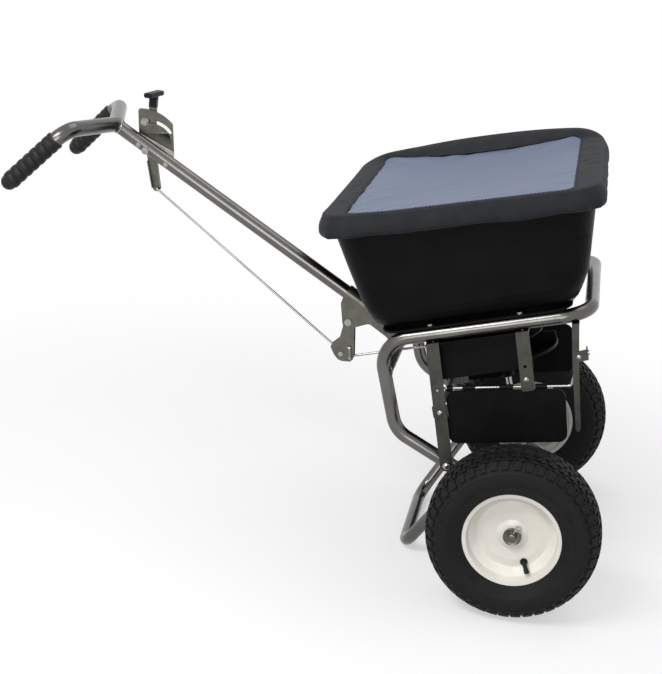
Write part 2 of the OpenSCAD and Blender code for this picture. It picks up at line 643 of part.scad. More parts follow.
module saddle_bracket() {
    color(steel) handle_frame() difference() {
        union() {
            pair() plate(saddle_in + hair, strap_t - 2 * hair) polygon([[582, 1], [582, -7], [586, -22], [612, -54],
                [616, -57.5], [622, -57.5], [636, -49.7], [655, -25], [660, -22], [700, -23], [720, -27], [727, -27], [727, 1]]);
            difference() {
                translate([582, 0, 0]) rotate([0, 90, 0]) cylinder(r = saddle_out, h = 145);
                translate([580, 0, 0]) rotate([0, 90, 0]) cylinder(r = saddle_in, h = 150);
                translate([580, -30, -60]) cube([150, 60, 60]);
            }
        }
        pin_y(cross_at_handle, -30, 30, cross_tube_d / 2);
        pin_y([696, -6], -30, 30, bolt_d / 2 + bolt_gap);
        pin_y(arm_pivot_uv, -30, 30, 4 + bolt_gap);
    }
}
module saddle_bolts() {
    color(bright) handle_frame() {
        bolt_y([696, -6], -saddle_out, saddle_out, bolt_d);
        mirror([0, 1, 0]) bolt_y(arm_pivot_uv, -saddle_out, saddle_out, bolt_d);
        pair() difference() {
            pin_y(arm_pivot_uv, arm_in + arm_t + play, saddle_in, 8);
            pin_y(arm_pivot_uv, 0, 30, 4.01);
        }
    }
}
function bar_points() = [mirror_y(bar_end + unit(bar_knee - bar_end) * 4), mirror_y(bar_knee), [-handle_back, 0, handle_up],
    bar_knee, bar_end + unit(bar_knee - bar_end) * 4];
module handlebar() { color(steel) standing() tube_along(bar_points(), bar_bend, bar_d / 2, tube_wall); }
module grip(end, knee) {
    pitch = (grip_l - 7) / grip_ribs;
    z = unit(knee - end);
    y = unit(cross(z, [0, 0, 1]));
    multmatrix(axes(cross(y, z), y, z, end)) difference() {
        rotate_extrude() polygon(concat([[0, -grip_r * sin(75)]], [for (a = [-75 : 15 : -15]) grip_r * [cos(a), sin(a)]],
            [for (k = [0 : 6 * grip_ribs]) [grip_r + grip_rib * (1 - cos(k * 60)) / 2, k * pitch / 6]],
            [[grip_r - 0.6, grip_l], [0, grip_l]]));
        translate([0, 0, 4]) cylinder(r = bar_d / 2, h = grip_l);
    }
}
module right_grip() { color(black) standing() grip(mirror_y(bar_end), mirror_y(bar_knee)); }
module left_grip() { color(black) standing() grip(bar_end, bar_knee); }

// Ring sector about the lever's pivot between two angles of the handle plane
module sector(r_in, r_out, a0, a1) {
    intersection() {
        difference() {
            circle(r_out);
            circle(r_in);
        }
        polygon([[0, 0], 100 * [cos(a0), sin(a0)], 100 * [cos((a0 + a1) / 2), sin((a0 + a1) / 2)], 100 * [cos(a1), sin(a1)]]);
    }
}
stop_from = 134;
stop_to = 72;
fold = [49.4, 8.7];
fold_turn = 7;
module gauge_plate() {
    y = gauge_y;
    color(steel) handle_frame() difference() {
        intersection() {
            plate(y - 1, gauge_t + gauge_step + 2) intersection() {
                polygon([[56, -5], [52, 0], [20.5, 46], [20.5, 80], [84, 80], [141.5, -1], [141, -5]]);
                translate([72, -20]) circle(88);
            }
            translate([fold.x, 0, fold.y]) rotate([0, -fold_turn, 0]) translate([-150, 0, 0]) rotate([90, 0, 90])
                linear_extrude(400) polygon([[y, -60], [y + gauge_t, -60], [y + gauge_t, -8], [y + gauge_t + gauge_step, 0],
                    [y + gauge_t + gauge_step, 120], [y + gauge_step, 120], [y + gauge_step, 0.4], [y, -7.6]]);
        }
        pin_y(lever_pivot, 0, 40, 4 + bolt_gap);
        for (u = gauge_at) pin_y([u, gauge_v], 0, 40, 2.5 + bolt_gap);
        translate([0, y - 1, 0]) plate(0, 12) translate(lever_pivot) {
            sector(slot_r - slot_w / 2, slot_r + slot_w / 2, stop_to, stop_from);
            for (a = [stop_to, stop_from]) translate(slot_r * [cos(a), sin(a)]) circle(slot_w / 2);
        }
    }
}
module gauge_bolts() {
    far = gauge_y + gauge_t;
    color(bright) handle_frame() {
        for (u = gauge_at) {
            pin_y([u, gauge_v], -gauge_y - 2.5, far + 3.5, 2.5);
            pin_y([u, gauge_v], -gauge_y - 3.5, -gauge_y, 5);
            hex_y([u, gauge_v], far, far + 3, 4.6);
        }
        pin_y(lever_pivot, -gauge_y - 1, lever_y + lever_t + 6, 4);
        pin_y(lever_pivot, -gauge_y - 4, -gauge_y, 7.5);
        hex_y(lever_pivot, lever_y + lever_t + play, lever_y + lever_t + play + 5, 7.4);
        difference() {
            pin_y(lever_pivot, far, lever_y - play, 8);
            pin_y(lever_pivot, 0, 40, 4.01);
        }
    }
}
knob_dir = unit([32.5 - lever_pivot.x, 85.7 - lever_pivot.y]);
knob_at = lever_pivot + knob_dir * lever_up;
module lever() {
    pin_dir = unit(lever_pin - lever_pivot);
    side = [-pin_dir.y, pin_dir.x];
    color(steel) handle_frame() difference() {
        union() {
            plate(lever_y, lever_t) {
                link_shape(lever_pivot, lever_w / 2 + 0.01, knob_at, lever_w / 2 - 3);
                link_shape(lever_pivot, lever_w / 2, lever_pin, lever_w / 2 - 2);
            }
            for (s = [-1, 1]) plate(lever_y - 7, lever_t + 7) polygon([
                lever_pivot + 26 * pin_dir + s * side * (lever_w / 2 - 2.6), lever_pin + s * side * (lever_w / 2 - 4.2),
                lever_pin + s * side * (lever_w / 2 - 2.2), lever_pivot + 26 * pin_dir + s * side * (lever_w / 2 - 0.6)]);
        }
        pin_y(lever_pivot, 0, 40, 4 + run);
        pin_y(lever_pin, 0, 40, rod_d / 2 + run);
    }
}
module lever_knob() {
    turn = 90 - atan2(knob_dir.y, knob_dir.x);
    color(black) handle_frame() translate([knob_at.x, lever_y + lever_t / 2, knob_at.y]) rotate([0, turn, 0]) difference() {
        union() {
            translate([-8, -6, -12]) cube([16, 12, 24]);
            translate([0, 0, 11]) rotate([0, 0, -knob_yaw]) rotate([90, 0, 0]) translate([0, 0, -knob_l / 2])
                linear_extrude(knob_l) round_box(-knob_w / 2, -2, knob_w / 2, 8, 3.5);
        }
        translate([-lever_w / 2, -lever_t / 2, -40]) cube([lever_w, lever_t, 50]);
    }
}
stop_at = lever_pivot + slot_r * [cos(stop_from), sin(stop_from)];
module stop_knob() {
    y = gauge_y + gauge_step;
    color(bright) handle_frame() {
        pin_y(stop_at, y - 9, y - 1, 6.5);
        pin_y(stop_at, y - 1.5, y - play / 2, 8);
        pin_y(stop_at, y - 3, lever_y - play, slot_w / 2 - 0.3);
    }
}
clevis_uv = [647.9, -113];
function rod_ends() = let (a = handle_point([lever_pin.x, 19, lever_pin.y])) [a, [clevis_at.x, 0, clevis_at.y]];
module upper_rod() {
    ends = rod_ends();
    way = unit(ends[1] - ends[0]);
    color(bright) chassis() rod_along([[ends[0].x, lever_y + lever_t + 4, ends[0].z], [ends[0].x, 15, ends[0].z],
        ends[1] - way * 9], 6, rod_d / 2);
}
module upper_clevis() {
    ends = rod_ends();
    way = unit(ends[1] - [ends[0].x, 15, ends[0].z]);
    y = unit(cross(way, [0, 1, 0]));
    color([0.25, 0.25, 0.26]) chassis() difference() {
        union() {
            translate(ends[1]) rotate([-90, 0, 0]) translate([0, 0, -6]) cylinder(r = 8, h = 12);
            straight(ends[1] - way * 26, ends[1] - way * 6, 5.5);
            multmatrix(axes(y, cross(way, y), way, ends[1] - way * 24)) translate([0, 0, -1]) cylinder(r = 8, h = 5, $fn = 6);
        }
        straight(ends[1] - way * 40, ends[1] - way * 8.6, rod_d / 2);
        pin_y(clevis_at, -10, 10, 3 + open_eye);
    }
}
module swing_arm() {
    color(steel) chassis() difference() {
        union() {
            pair() plate(arm_in, arm_t) polygon([[-297, 374], [-311, 374], [-316, 368], [-318, 355], [-331, 329], [-351, 318],
                [-352, 311], [-349, 298], [-343, 286], [-336, 281], [-318, 277], [-311, 281], [-308.5, 289], [-296, 348], [-293, 366]]);
            translate([-316, -arm_in - hair, 372]) cube([19, 2 * (arm_in + hair), 2.5]);
        }
        pin_y(arm_pivot, -20, 20, 4 + run);
        pin_y(clevis_at, -20, 20, 3 + 0.05);
        pin_y(low_pin, -20, 20, 2.5 + 0.05);
    }
}
module arm_pins() {
    out = arm_in + arm_t;
    color(bright) chassis() {
        bolt_y(clevis_at, -out, out, 6);
        pin_y([low_pin.x, low_pin.y], -out - 5, out + 3, 2.5);
        pin_y(low_pin, out, out + 2.5, 4.5);
        translate([low_pin.x, -out - 3.2, low_pin.y]) rotate([0, 8, 0]) {
            translate([0, 0, -6]) cylinder(r = 1, h = 30);
            translate([0, -2.5, 0]) rotate([4, 0, 0]) translate([2.6, 0, -3]) cylinder(r = 1, h = 24);
            translate([-0.4, -1.2, 22]) rotate([0, 90, 0]) translate([0, 0, -1.2]) cylinder(r = 2.6, h = 5);
        }
    }
}
module lower_rod() {
    color(bright) chassis() difference() {
        union() {
            straight([low_pin.x + 4, 0, link_z], [shutter_tail + 2 - rod_d / 2 - open_eye - 1.1, 0, link_z], rod_d / 2);
            pin_y(low_pin, -arm_in + play, arm_in - play, 5.6);
            pin_y([shutter_tail + 2, link_z], -rod_d / 2 - 0.7, rod_d / 2 + 0.7, rod_d / 2 + open_eye + 2.2);
        }
        pin_y(low_pin, -10, 10, 2.5 + run);
        pin_y([shutter_tail + 2, link_z], -10, 10, rod_d / 2 + open_eye);
    }
}
// Side deflector on its hinge wire: x along the wire, z square to it, y across
module deflector() {
    knuckles = [[-94, 11], [-64, 24], [6, 26], [74, 22]];
    difference() {
        union() {
            plate(-deflector_t / 2, deflector_t) round_box(-97, -deflector_h, 130, -wire_r - 3, 18);
            for (k = knuckles) {
                translate([k[0], 0, 0]) rotate([0, 90, 0]) cylinder(r = wire_r + 2.8, h = k[1]);
                translate([k[0], -deflector_t / 2, -wire_r - 6]) cube([k[1], deflector_t, 6]);
            }
        }
        translate([-150, 0, 0]) rotate([0, 90, 0]) cylinder(r = wire_r + run, h = 300);
        pin_y([18.6, -20.7], -10, 10, 2.4);
    }
    color(bright) pin_y([18.6, -20.7], -deflector_t / 2 - 1, deflector_t / 2 + 1.5, 2.4);
    color(bright) pin_y([18.6, -20.7], deflector_t / 2, deflector_t / 2 + 1.5, 4);
}
module left_deflector() { color(black) chassis() translate([0, wire_y, wire_z0]) rotate([0, wire_slope, 0]) deflector(); }
module right_deflector() { color(black) chassis() mirror([0, 1, 0]) translate([0, wire_y, wire_z0]) rotate([0, wire_slope, 0]) deflector(); }

washer_y = track_half + hub_out + play;
module axle() {
    color(steel) chassis() difference() {
        union() {
            pin_y([0, 0], -axle_half + 1, axle_half - 1, axle_r);
            pair() translate([0, axle_half - 1.5, 0]) rotate([-90, 0, 0]) cylinder(r1 = axle_r, r2 = axle_r - 1.5, h = 1.5);
        }
        pair() translate([0, washer_y + 5.5, 0]) rotate([0, 30, 0]) translate([0, 0, -20]) cylinder(r = 2, h = 40);
    }
}
module wheel_washers() {
    color(bright) chassis() pair() difference() {
        union() {
            pin_y([0, 0], washer_y, washer_y + 2, 17);
            pin_y([0, 0], washer_y + 1, washer_y + 3, 12.5);
        }
        pin_y([0, 0], washer_y - 5, washer_y + 5, axle_r + run);
    }
}
module hairpins() {
    color(bright) chassis() pair() translate([0, washer_y + 5.5, 0]) rotate([0, 30, 0]) {
        translate([0, 0, -13]) cylinder(r = 1.6, h = 34);
        translate([axle_r + 1.4, 0, -8]) cylinder(r = 1.2, h = 28);
        translate([0, 0, 20]) rotate([90, 0, 0]) translate([4.5, 0, -1.4]) difference() {
            cylinder(r = 6, h = 2.8);
            translate([0, 0, -1]) cylinder(r = 3.2, h = 5);
        }
    }
}
// Outer and inner lines of the tyre's section about the middle of its side
half_h = (tyre_d - rim_d) / 4;
mid_r = tyre_r - half_h;
function bulge(t, h, w) = [mid_r + h * sign(cos(t)) * pow(abs(cos(t)), 0.77), w * sign(sin(t)) * pow(abs(sin(t)), 0.77)];
function tread(t) = let (p = bulge(t, half_h, tyre_w / 2), w = abs(p.y))
    (w < 3.5 || (w > 19 && w < 22) || (w > 36 && w < 39)) && p.x > mid_r ? [p.x - groove_depth, p.y] : p;
module tyre() {
    seat = rim_d / 2;
    out_w = rim_w / 2;
    side = [[seat + 0.8, out_w + 2], [seat + 0.8, out_w - 2.9], [seat - 4.7, out_w - 4.2], [seat - 6.7, out_w - 14], [seat + 2, out_w - 15]];
    outer = [for (t = [-126 : 6 : -66]) bulge(t, half_h, tyre_w / 2)];
    lug = [for (w = [-46, -39.2, -39, -36, -35.8, -22.2, -22, -19, -18.8, -3.7, -3.5, 3.5, 3.7, 18.8, 19, 22, 22.2, 35.8, 36, 39, 39.2, 46])
        let (q = pow(abs(w) / (tyre_w / 2), 1 / 0.77), c = sqrt(1 - min(1, q * q)), r = mid_r + half_h * pow(c, 0.77),
            deep = (abs(w) < 3.6 || (abs(w) > 18.9 && abs(w) < 22.1) || (abs(w) > 35.9 && abs(w) < 39.1)))
        [r - (deep ? groove_depth : 0), w]];
    inner = [for (t = [116 : -8 : -116]) bulge(t, half_h - tyre_wall, tyre_w / 2 - tyre_wall)];
    rotate([-90, 0, 0]) rotate_extrude($fn = 96) polygon(concat(outer, lug, [for (i = [len(outer) - 1 : -1 : 0]) [outer[i].x, -outer[i].y]],
        side, inner, [for (i = [len(side) - 1 : -1 : 0]) [side[i].x, -side[i].y]]));
}
module rim() {
    f = rim_d / 2;
    w = rim_w / 2;
    hub = hub_d / 2;
    rotate([-90, 0, 0]) {
        difference() {
            union() {
                rotate_extrude($fn = 96) polygon([[f, w], [f, w - 2.5], [f - 5.5, w - 3.6], [f - 8, w - 20], [f - 16, w - 26],
                    [f - 16, 14 - w], [f - 8, 8 - w], [f - 7, 6 - w], [f - 5.5, 3.6 - w], [f, 2.5 - w], [f, -w], [f - 8, 1 - w], [f - 10.5, 7 - w],
                    [f - 18.5, 13 - w], [f - 18.5, w - 30], [f - 24, w - 32], [52, w - 29], [30, w - 30], [22, w - 26], [hub - 1, w - 25],
                    [hub - 1, w - 22.5], [22, w - 23.5], [30, w - 27.5], [52, w - 26.5], [f - 26, w - 29.4],
                    [f - 22, w - 27], [f - 18, w - 24], [f - 10.5, w - 19], [f - 8, w - 1], [f - 2, w]]);
                translate([0, 0, -hub_out - 5]) cylinder(r = hub, h = 2 * hub_out + 5);
            }
            translate([0, 0, -hub_out - 6]) cylinder(r = hub - 2.5, h = 2 * hub_out + 8);
            rotate([0, 0, 62]) translate([58, 0, 0]) cylinder(r = 5.6, h = 40);
        }
    }
}
module valve() {
    rotate([-90, 0, 0]) rotate([0, 0, 62]) translate([58, 0, 0]) {
        translate([0, 0, 12]) cylinder(r = 5.5, h = 11);
        translate([0, 0, 18.5]) cylinder(r = 7, h = 3);
        translate([0, 0, 22]) rotate([0, 58, 0]) cylinder(r = 4, h = 20);
        translate([0, 0, 22]) sphere(4.2);
        translate([0, 0, 22]) rotate([0, 58, 0]) translate([0, 0, 13]) cylinder(r = 4.8, h = 9);
    }
}
module wheel_bush() {
    rotate([-90, 0, 0]) for (s = [0, 1]) difference() {
        union() {
            translate([0, 0, s == 0 ? -hub_out - 5 : hub_out - 14]) cylinder(r = hub_d / 2 - 2.5, h = 14);
            translate([0, 0, s == 0 ? -hub_out - 7 : hub_out - 0.01]) cylinder(r = hub_d / 2 - 0.4, h = s == 0 ? 2 : play - 0.1);
        }
        translate([0, 0, -hub_out - 9]) cylinder(r = axle_r + run, h = 2 * hub_out + 12);
    }
}
module at_right() { standing() mirror([0, 1, 0]) translate([0, track_half, 0]) children(); }
module at_left() { standing() translate([0, track_half, 0]) children(); }
module right_tyre() { color(black) at_right() tyre(); }
module left_tyre() { color(black) at_left() tyre(); }
module right_rim() { color([0.93, 0.91, 0.84]) at_right() rim(); }
module left_rim() { color([0.93, 0.91, 0.84]) at_left() rim(); }
module right_valve() { color(black) at_right() valve(); }
module left_valve() { color(black) at_left() valve(); }
module wheel_bushes_left() { color([0.9, 0.9, 0.86]) at_left() wheel_bush(); }
module wheel_bushes_right() { color([0.9, 0.9, 0.86]) at_right() wheel_bush(); }

// One straight-flanked bevel tooth, drawn at the big end and shrunk to the cone's tip
module bevel_tooth(r, h, back) {
    cone = atan2(r, h);
    n = [cos(cone), -sin(cone)];
    add = 0.85 * gear_module;
    ded = 1.25 * gear_module;
    foot = [r, h] - (ded + 0.3) * n;
    tip = [r, h] + add * n;
    wide = 0.98 * gear_module;
    thin = 0.42 * gear_module;
    out = [[foot.x, -wide, foot.y], [foot.x, wide, foot.y], [tip.x, thin, tip.y], [tip.x, -thin, tip.y]];
    polyhedron(concat(out, [for (p = out) p * back]),
        [[0, 1, 2, 3], [7, 6, 5, 4], [0, 4, 5, 1], [1, 5, 6, 2], [2, 6, 7, 3], [3, 7, 4, 0]]);
}
module bevel_gear(teeth, mate, bore, hub_r, hub_h) {
    r = gear_module * teeth / 2;
    h = gear_module * mate / 2;
    back = 0.76;
    cone = atan2(r, h);
    root = [r, h] - 1.25 * gear_module * [cos(cone), -sin(cone)];
    difference() {
        union() {
            rotate_extrude($fn = 72) polygon([[0, root.y * back], root * back, root, [root.x, root.y + 3], [hub_r, root.y + 4],
                [hub_r, root.y + hub_h], [0, root.y + hub_h]]);
            for (i = [0 : teeth - 1]) rotate([0, 0, i * 360 / teeth]) bevel_tooth(r, h, back);
        }
        translate([0, 0, -50]) cylinder(r = bore, h = 120, $fn = 72);
    }
}
module drive_gear() { color([0.45, 0.45, 0.46]) chassis() rotate([-90, 0, 0]) rotate([0, 0, 0]) bevel_gear(gear_teeth, pinion_teeth, axle_r, 14, 6); }
module pinion() { color([0.55, 0.55, 0.56]) chassis() rotate([0, 0, 90 + 180 / pinion_teeth]) bevel_gear(pinion_teeth, gear_teeth, shaft_r, 10, 6); }
case_r = 49;
screw_out = 4.2;
case_in = 43;
module gearcase_half() {
    difference() {
        union() {
            pin_y([0, 0], 0, 30, case_r);
            pin_y([0, 0], 0, 5, case_r + 8.5);
            pin_y([0, 0], 29, 35, axle_r + 7);
            intersection() {
                cylinder(r = 16, h = 68);
                translate([-20, 0, 0]) cube([40, 20, 80]);
            }
        }
        pin_y([0, 0], -1, 25, case_in);
        pin_y([0, 0], 0, 40, axle_r + run);
        translate([0, 0, 30]) cylinder(r = shaft_r + 4, h = 60);
        for (a = case_screws) rotate([0, a, 0]) translate([case_r + screw_out, -1, 0]) rotate([-90, 0, 0]) cylinder(r = 2.1, h = 10);
    }
}
case_screws = [0, 60, 120, 180, 222, 318];
module gearcase_left() { color([0.5, 0.5, 0.5]) chassis() gearcase_half(); }
module gearcase_right() { color([0.5, 0.5, 0.5]) chassis() mirror([0, 1, 0]) gearcase_half(); }
module gearcase_screws() {
    color(bright) chassis() for (a = case_screws) rotate([0, a, 0]) {
        pin_y([case_r + screw_out, 0], -8, 8, 2);
        pin_y([case_r + screw_out, 0], -8, -5, 3.8);
        hex_y([case_r + screw_out, 0], 5, 8, 3.9);
    }
}
module shaft_bushes() {
    color([0.9, 0.9, 0.86]) chassis() {
        difference() {
            union() {
                pin_z([0, 0], 45, 68, shaft_r + 4);
                pin_z([0, 0], 68, 71, shaft_r + 8);
            }
            pin_z([0, 0], 0, 100, shaft_r + run);
        }
        difference() {
            union() {
                pin_z([0, 0], floor_z, floor_z + floor_t + 2, shaft_r + 3);
                pin_z([0, 0], floor_z + floor_t, floor_z + floor_t + 3, shaft_r + 7);
            }
            pin_z([0, 0], 200, 400, shaft_r + run);
        }
    }
}
hub_top = 286;
module impeller_shaft() {
    color(bright) chassis() difference() {
        union() {
            pin_z([0, 0], 27.5, 331, shaft_r);
            pin_z([0, 0], steady_z + 9.4, steady_z + 13, shaft_r + 3);
        }
        translate([-30, 0, 313]) rotate([0, 90, 0]) cylinder(r = 3, h = 60);
    }
}
module impeller() {
    color(black) chassis() difference() {
        union() {
            pin_z([0, 0], impeller_z, impeller_z + impeller_t, impeller_d / 2);
            pin_z([0, 0], impeller_z - 8, impeller_z + 22, 15);
            difference() {
                pin_z([0, 0], impeller_z + impeller_t - 1, impeller_z + impeller_t + 3, impeller_d / 2);
                pin_z([0, 0], impeller_z + impeller_t - 2, impeller_z + impeller_t + 5, impeller_d / 2 - 2.5);
            }
            for (i = [0 : fin_count - 1]) rotate([0, 0, i * 360 / fin_count + 12]) {
                translate([12, 0, impeller_z + 1]) cube([36, 3, fin_h + 1]);
                translate([46.5, 0, impeller_z + 1]) rotate([0, 0, -14]) cube([62, 3, fin_h + 1]);
            }
        }
        pin_z([0, 0], 200, 300, shaft_r);
    }
}
module agitator() {
    color(bright) chassis() rod_along([[-46, 0, 325], [-34, 0, 313], [34, 0, 313], [46, 0, 325]], 8, 3);
}
// Top of the cover: level with the rim, raised along the far edge and at the back
function cover_z(x, y) = rim_z + seat_gap + cloth_t - rim_fall * x
    + (y > 0 ? cover_crown * pow(y / rim_half_y, 2) * (1 - pow(x / 300, 2)) : 0);
function gather(i) = 0.8 * (1 + cos(i * 100));
// Ring of the cover: inset from the skirt's outer face, lowered from the top
function cover_ring(inset, low, waves) = let (x = rim_half_x + rim_lip + cover_gap + cloth_t - inset,
    y = rim_half_y + rim_lip + cover_gap + cloth_t - inset, q = ring(x, y, 62 - inset, 0, 0, -rim_set_back))
    [for (i = [0 : len(q) - 1]) let (p = q[i], g = waves * gather(i), k = 1 + g / norm([p.x, p.y]))
        [p.x * k, p.y * k, cover_z(p.x, p.y) - low]];
module cover_fabric() {
    color(black) chassis() skin([
        cover_ring(border_w, 0.4, 0), cover_ring(border_w / 2, -1.2, 0), cover_ring(4, 0.8, 0), cover_ring(0, 4, 0),
        cover_ring(0, skirt_drop - 10, 0.6), cover_ring(0, skirt_drop, 1),
        cover_ring(cloth_t, skirt_drop, 1), cover_ring(cloth_t, skirt_drop - 10, 0.6), cover_ring(cloth_t, 5, 0),
        cover_ring(cover_gap + cloth_t - 0.3, cloth_t, 0), cover_ring(border_w / 2, cloth_t - 1.2, 0), cover_ring(border_w, 0.4 + cloth_t, 0)]);
}
module cover_window() {
    n = 4;
    color([0.45, 0.52, 0.62]) chassis() {
        q = cover_ring(border_w + 0.3, 0.8, 0);
        low = cover_ring(border_w + 0.3, 2.6, 0);
        m = len(q);
        c = [0, 0, cover_z(0, 0) - 5];
        polyhedron(concat(q, low, [c, c - [0, 0, 1.8]]), concat(
            [for (j = [0 : m - 1]) [2 * m, (j + 1) % m, j]],
            [for (j = [0 : m - 1]) [2 * m + 1, m + j, m + (j + 1) % m]],
            [for (j = [0 : m - 1]) [j, (j + 1) % m, m + (j + 1) % m]],
            [for (j = [0 : m - 1]) [j, m + (j + 1) % m, m + j]]));
    }
}

frame_hoop();
rear_cross_tube();
stand_tube();
rear_straps();
short_straps();
front_hanger();
axle_plates();
axle_bushes();
hopper();
floor_plate();
impeller_shroud();
deflector_rods();
rod_clips();
frame_bolts();
cross_stay();
steady_block();
steady_arm();
handle_tube();
saddle_bracket();
saddle_bolts();
handlebar();
right_grip();
left_grip();
gauge_plate();
gauge_bolts();
gearcase_right();
gearcase_left();
gearcase_screws();
shaft_bushes();
lever();
lever_knob();
stop_knob();
upper_rod();
upper_clevis();
swing_arm();
arm_pins();
lower_rod();
shutter();
right_deflector();
left_deflector();
axle();
drive_gear();
right_tyre();
right_rim();
right_valve();
left_tyre();
left_rim();
left_valve();
wheel_bushes_right();
wheel_bushes_left();
wheel_washers();
hairpins();
pinion();
impeller_shaft();
impeller();
agitator();
cover_fabric();
cover_window();
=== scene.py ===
"""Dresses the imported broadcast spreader: finishes, rain cover, turf treads, grips and welds."""

import logging
import math
import random
from dataclasses import dataclass, field
from enum import Enum

import bpy
from mathutils import Matrix, Vector, noise


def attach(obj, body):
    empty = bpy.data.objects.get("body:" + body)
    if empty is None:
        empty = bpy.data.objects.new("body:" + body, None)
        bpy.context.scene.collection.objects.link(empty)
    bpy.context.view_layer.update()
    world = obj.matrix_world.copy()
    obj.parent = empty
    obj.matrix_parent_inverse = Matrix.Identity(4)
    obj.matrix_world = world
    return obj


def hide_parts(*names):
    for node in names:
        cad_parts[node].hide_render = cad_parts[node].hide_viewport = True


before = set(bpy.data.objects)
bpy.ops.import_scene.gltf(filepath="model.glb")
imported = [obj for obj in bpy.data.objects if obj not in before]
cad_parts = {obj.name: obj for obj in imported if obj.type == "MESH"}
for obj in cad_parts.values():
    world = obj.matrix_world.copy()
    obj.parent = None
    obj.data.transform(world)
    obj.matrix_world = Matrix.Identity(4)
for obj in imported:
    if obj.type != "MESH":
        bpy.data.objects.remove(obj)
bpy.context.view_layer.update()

LOG = logging.getLogger("spreader")
MM = 0.001
IMAGE_WIDTH, IMAGE_HEIGHT = 662, 674
AXLE = Vector((453.2, 0.0, 165.0))
FRAME_PITCH = math.radians(15.5)
HANDLE_SLOPE = math.radians(30.25)
HANDLE_TOP = Vector((-903.7, 0.0, 621.4))


class Body(str, Enum):
    """The CAD bodies that dressed pieces ride on."""

    CHASSIS = "chassis"
    DRIVE_AXLE = "drive_axle"
    FREE_WHEEL = "free_wheel"
    COVER = "rain_cover"


class Side(Enum):
    """The two sides of the spreader, by the sign of Y."""

    RIGHT = -1
    LEFT = 1


def from_chassis(x: float, y: float, z: float) -> Vector:
    """Turns a chassis point into the row frame.

    Args:
        x: Distance ahead of the axle along the rails, in mm.
        y: Distance to the operator's left, in mm.
        z: Height square to the rails, in mm.

    Returns:
        The point in metres.
    """
    c, s = math.cos(FRAME_PITCH), math.sin(FRAME_PITCH)
    return (AXLE + Vector((x * c - z * s, y, x * s + z * c))) * MM


def from_handle(u: float, y: float, v: float) -> Vector:
    """Turns a handle point into the row frame.

    Args:
        u: Distance down the handle tube, in mm.
        y: Distance to the operator's left, in mm.
        v: Distance square to the tube, upward, in mm.

    Returns:
        The point in metres.
    """
    c, s = math.cos(HANDLE_SLOPE), math.sin(HANDLE_SLOPE)
    return (AXLE + HANDLE_TOP + Vector((u * c + v * s, y, -u * s + v * c))) * MM


def from_axle(x: float, y: float, z: float) -> Vector:
    """Turns a standing point, measured from the axle in mm, into the row frame in metres."""
    return (AXLE + Vector((x, y, z))) * MM


def ease(low: float, high: float, value: float) -> float:
    """Rises smoothly from 0 at low to 1 at high."""
    t = min(1.0, max(0.0, (value - low) / (high - low)))
    return t * t * (3 - 2 * t)


def linear(code: str) -> tuple[float, float, float, float]:
    """Turns an sRGB hex colour into linear light.

    Args:
        code: Six hex digits with a leading hash.

    Returns:
        Red, green, blue and an alpha of 1.
    """
    parts = [int(code[i : i + 2], 16) / 255 for i in (1, 3, 5)]
    light = [p / 12.92 if p <= 0.04045 else ((p + 0.055) / 1.055) ** 2.4 for p in parts]
    return (light[0], light[1], light[2], 1.0)


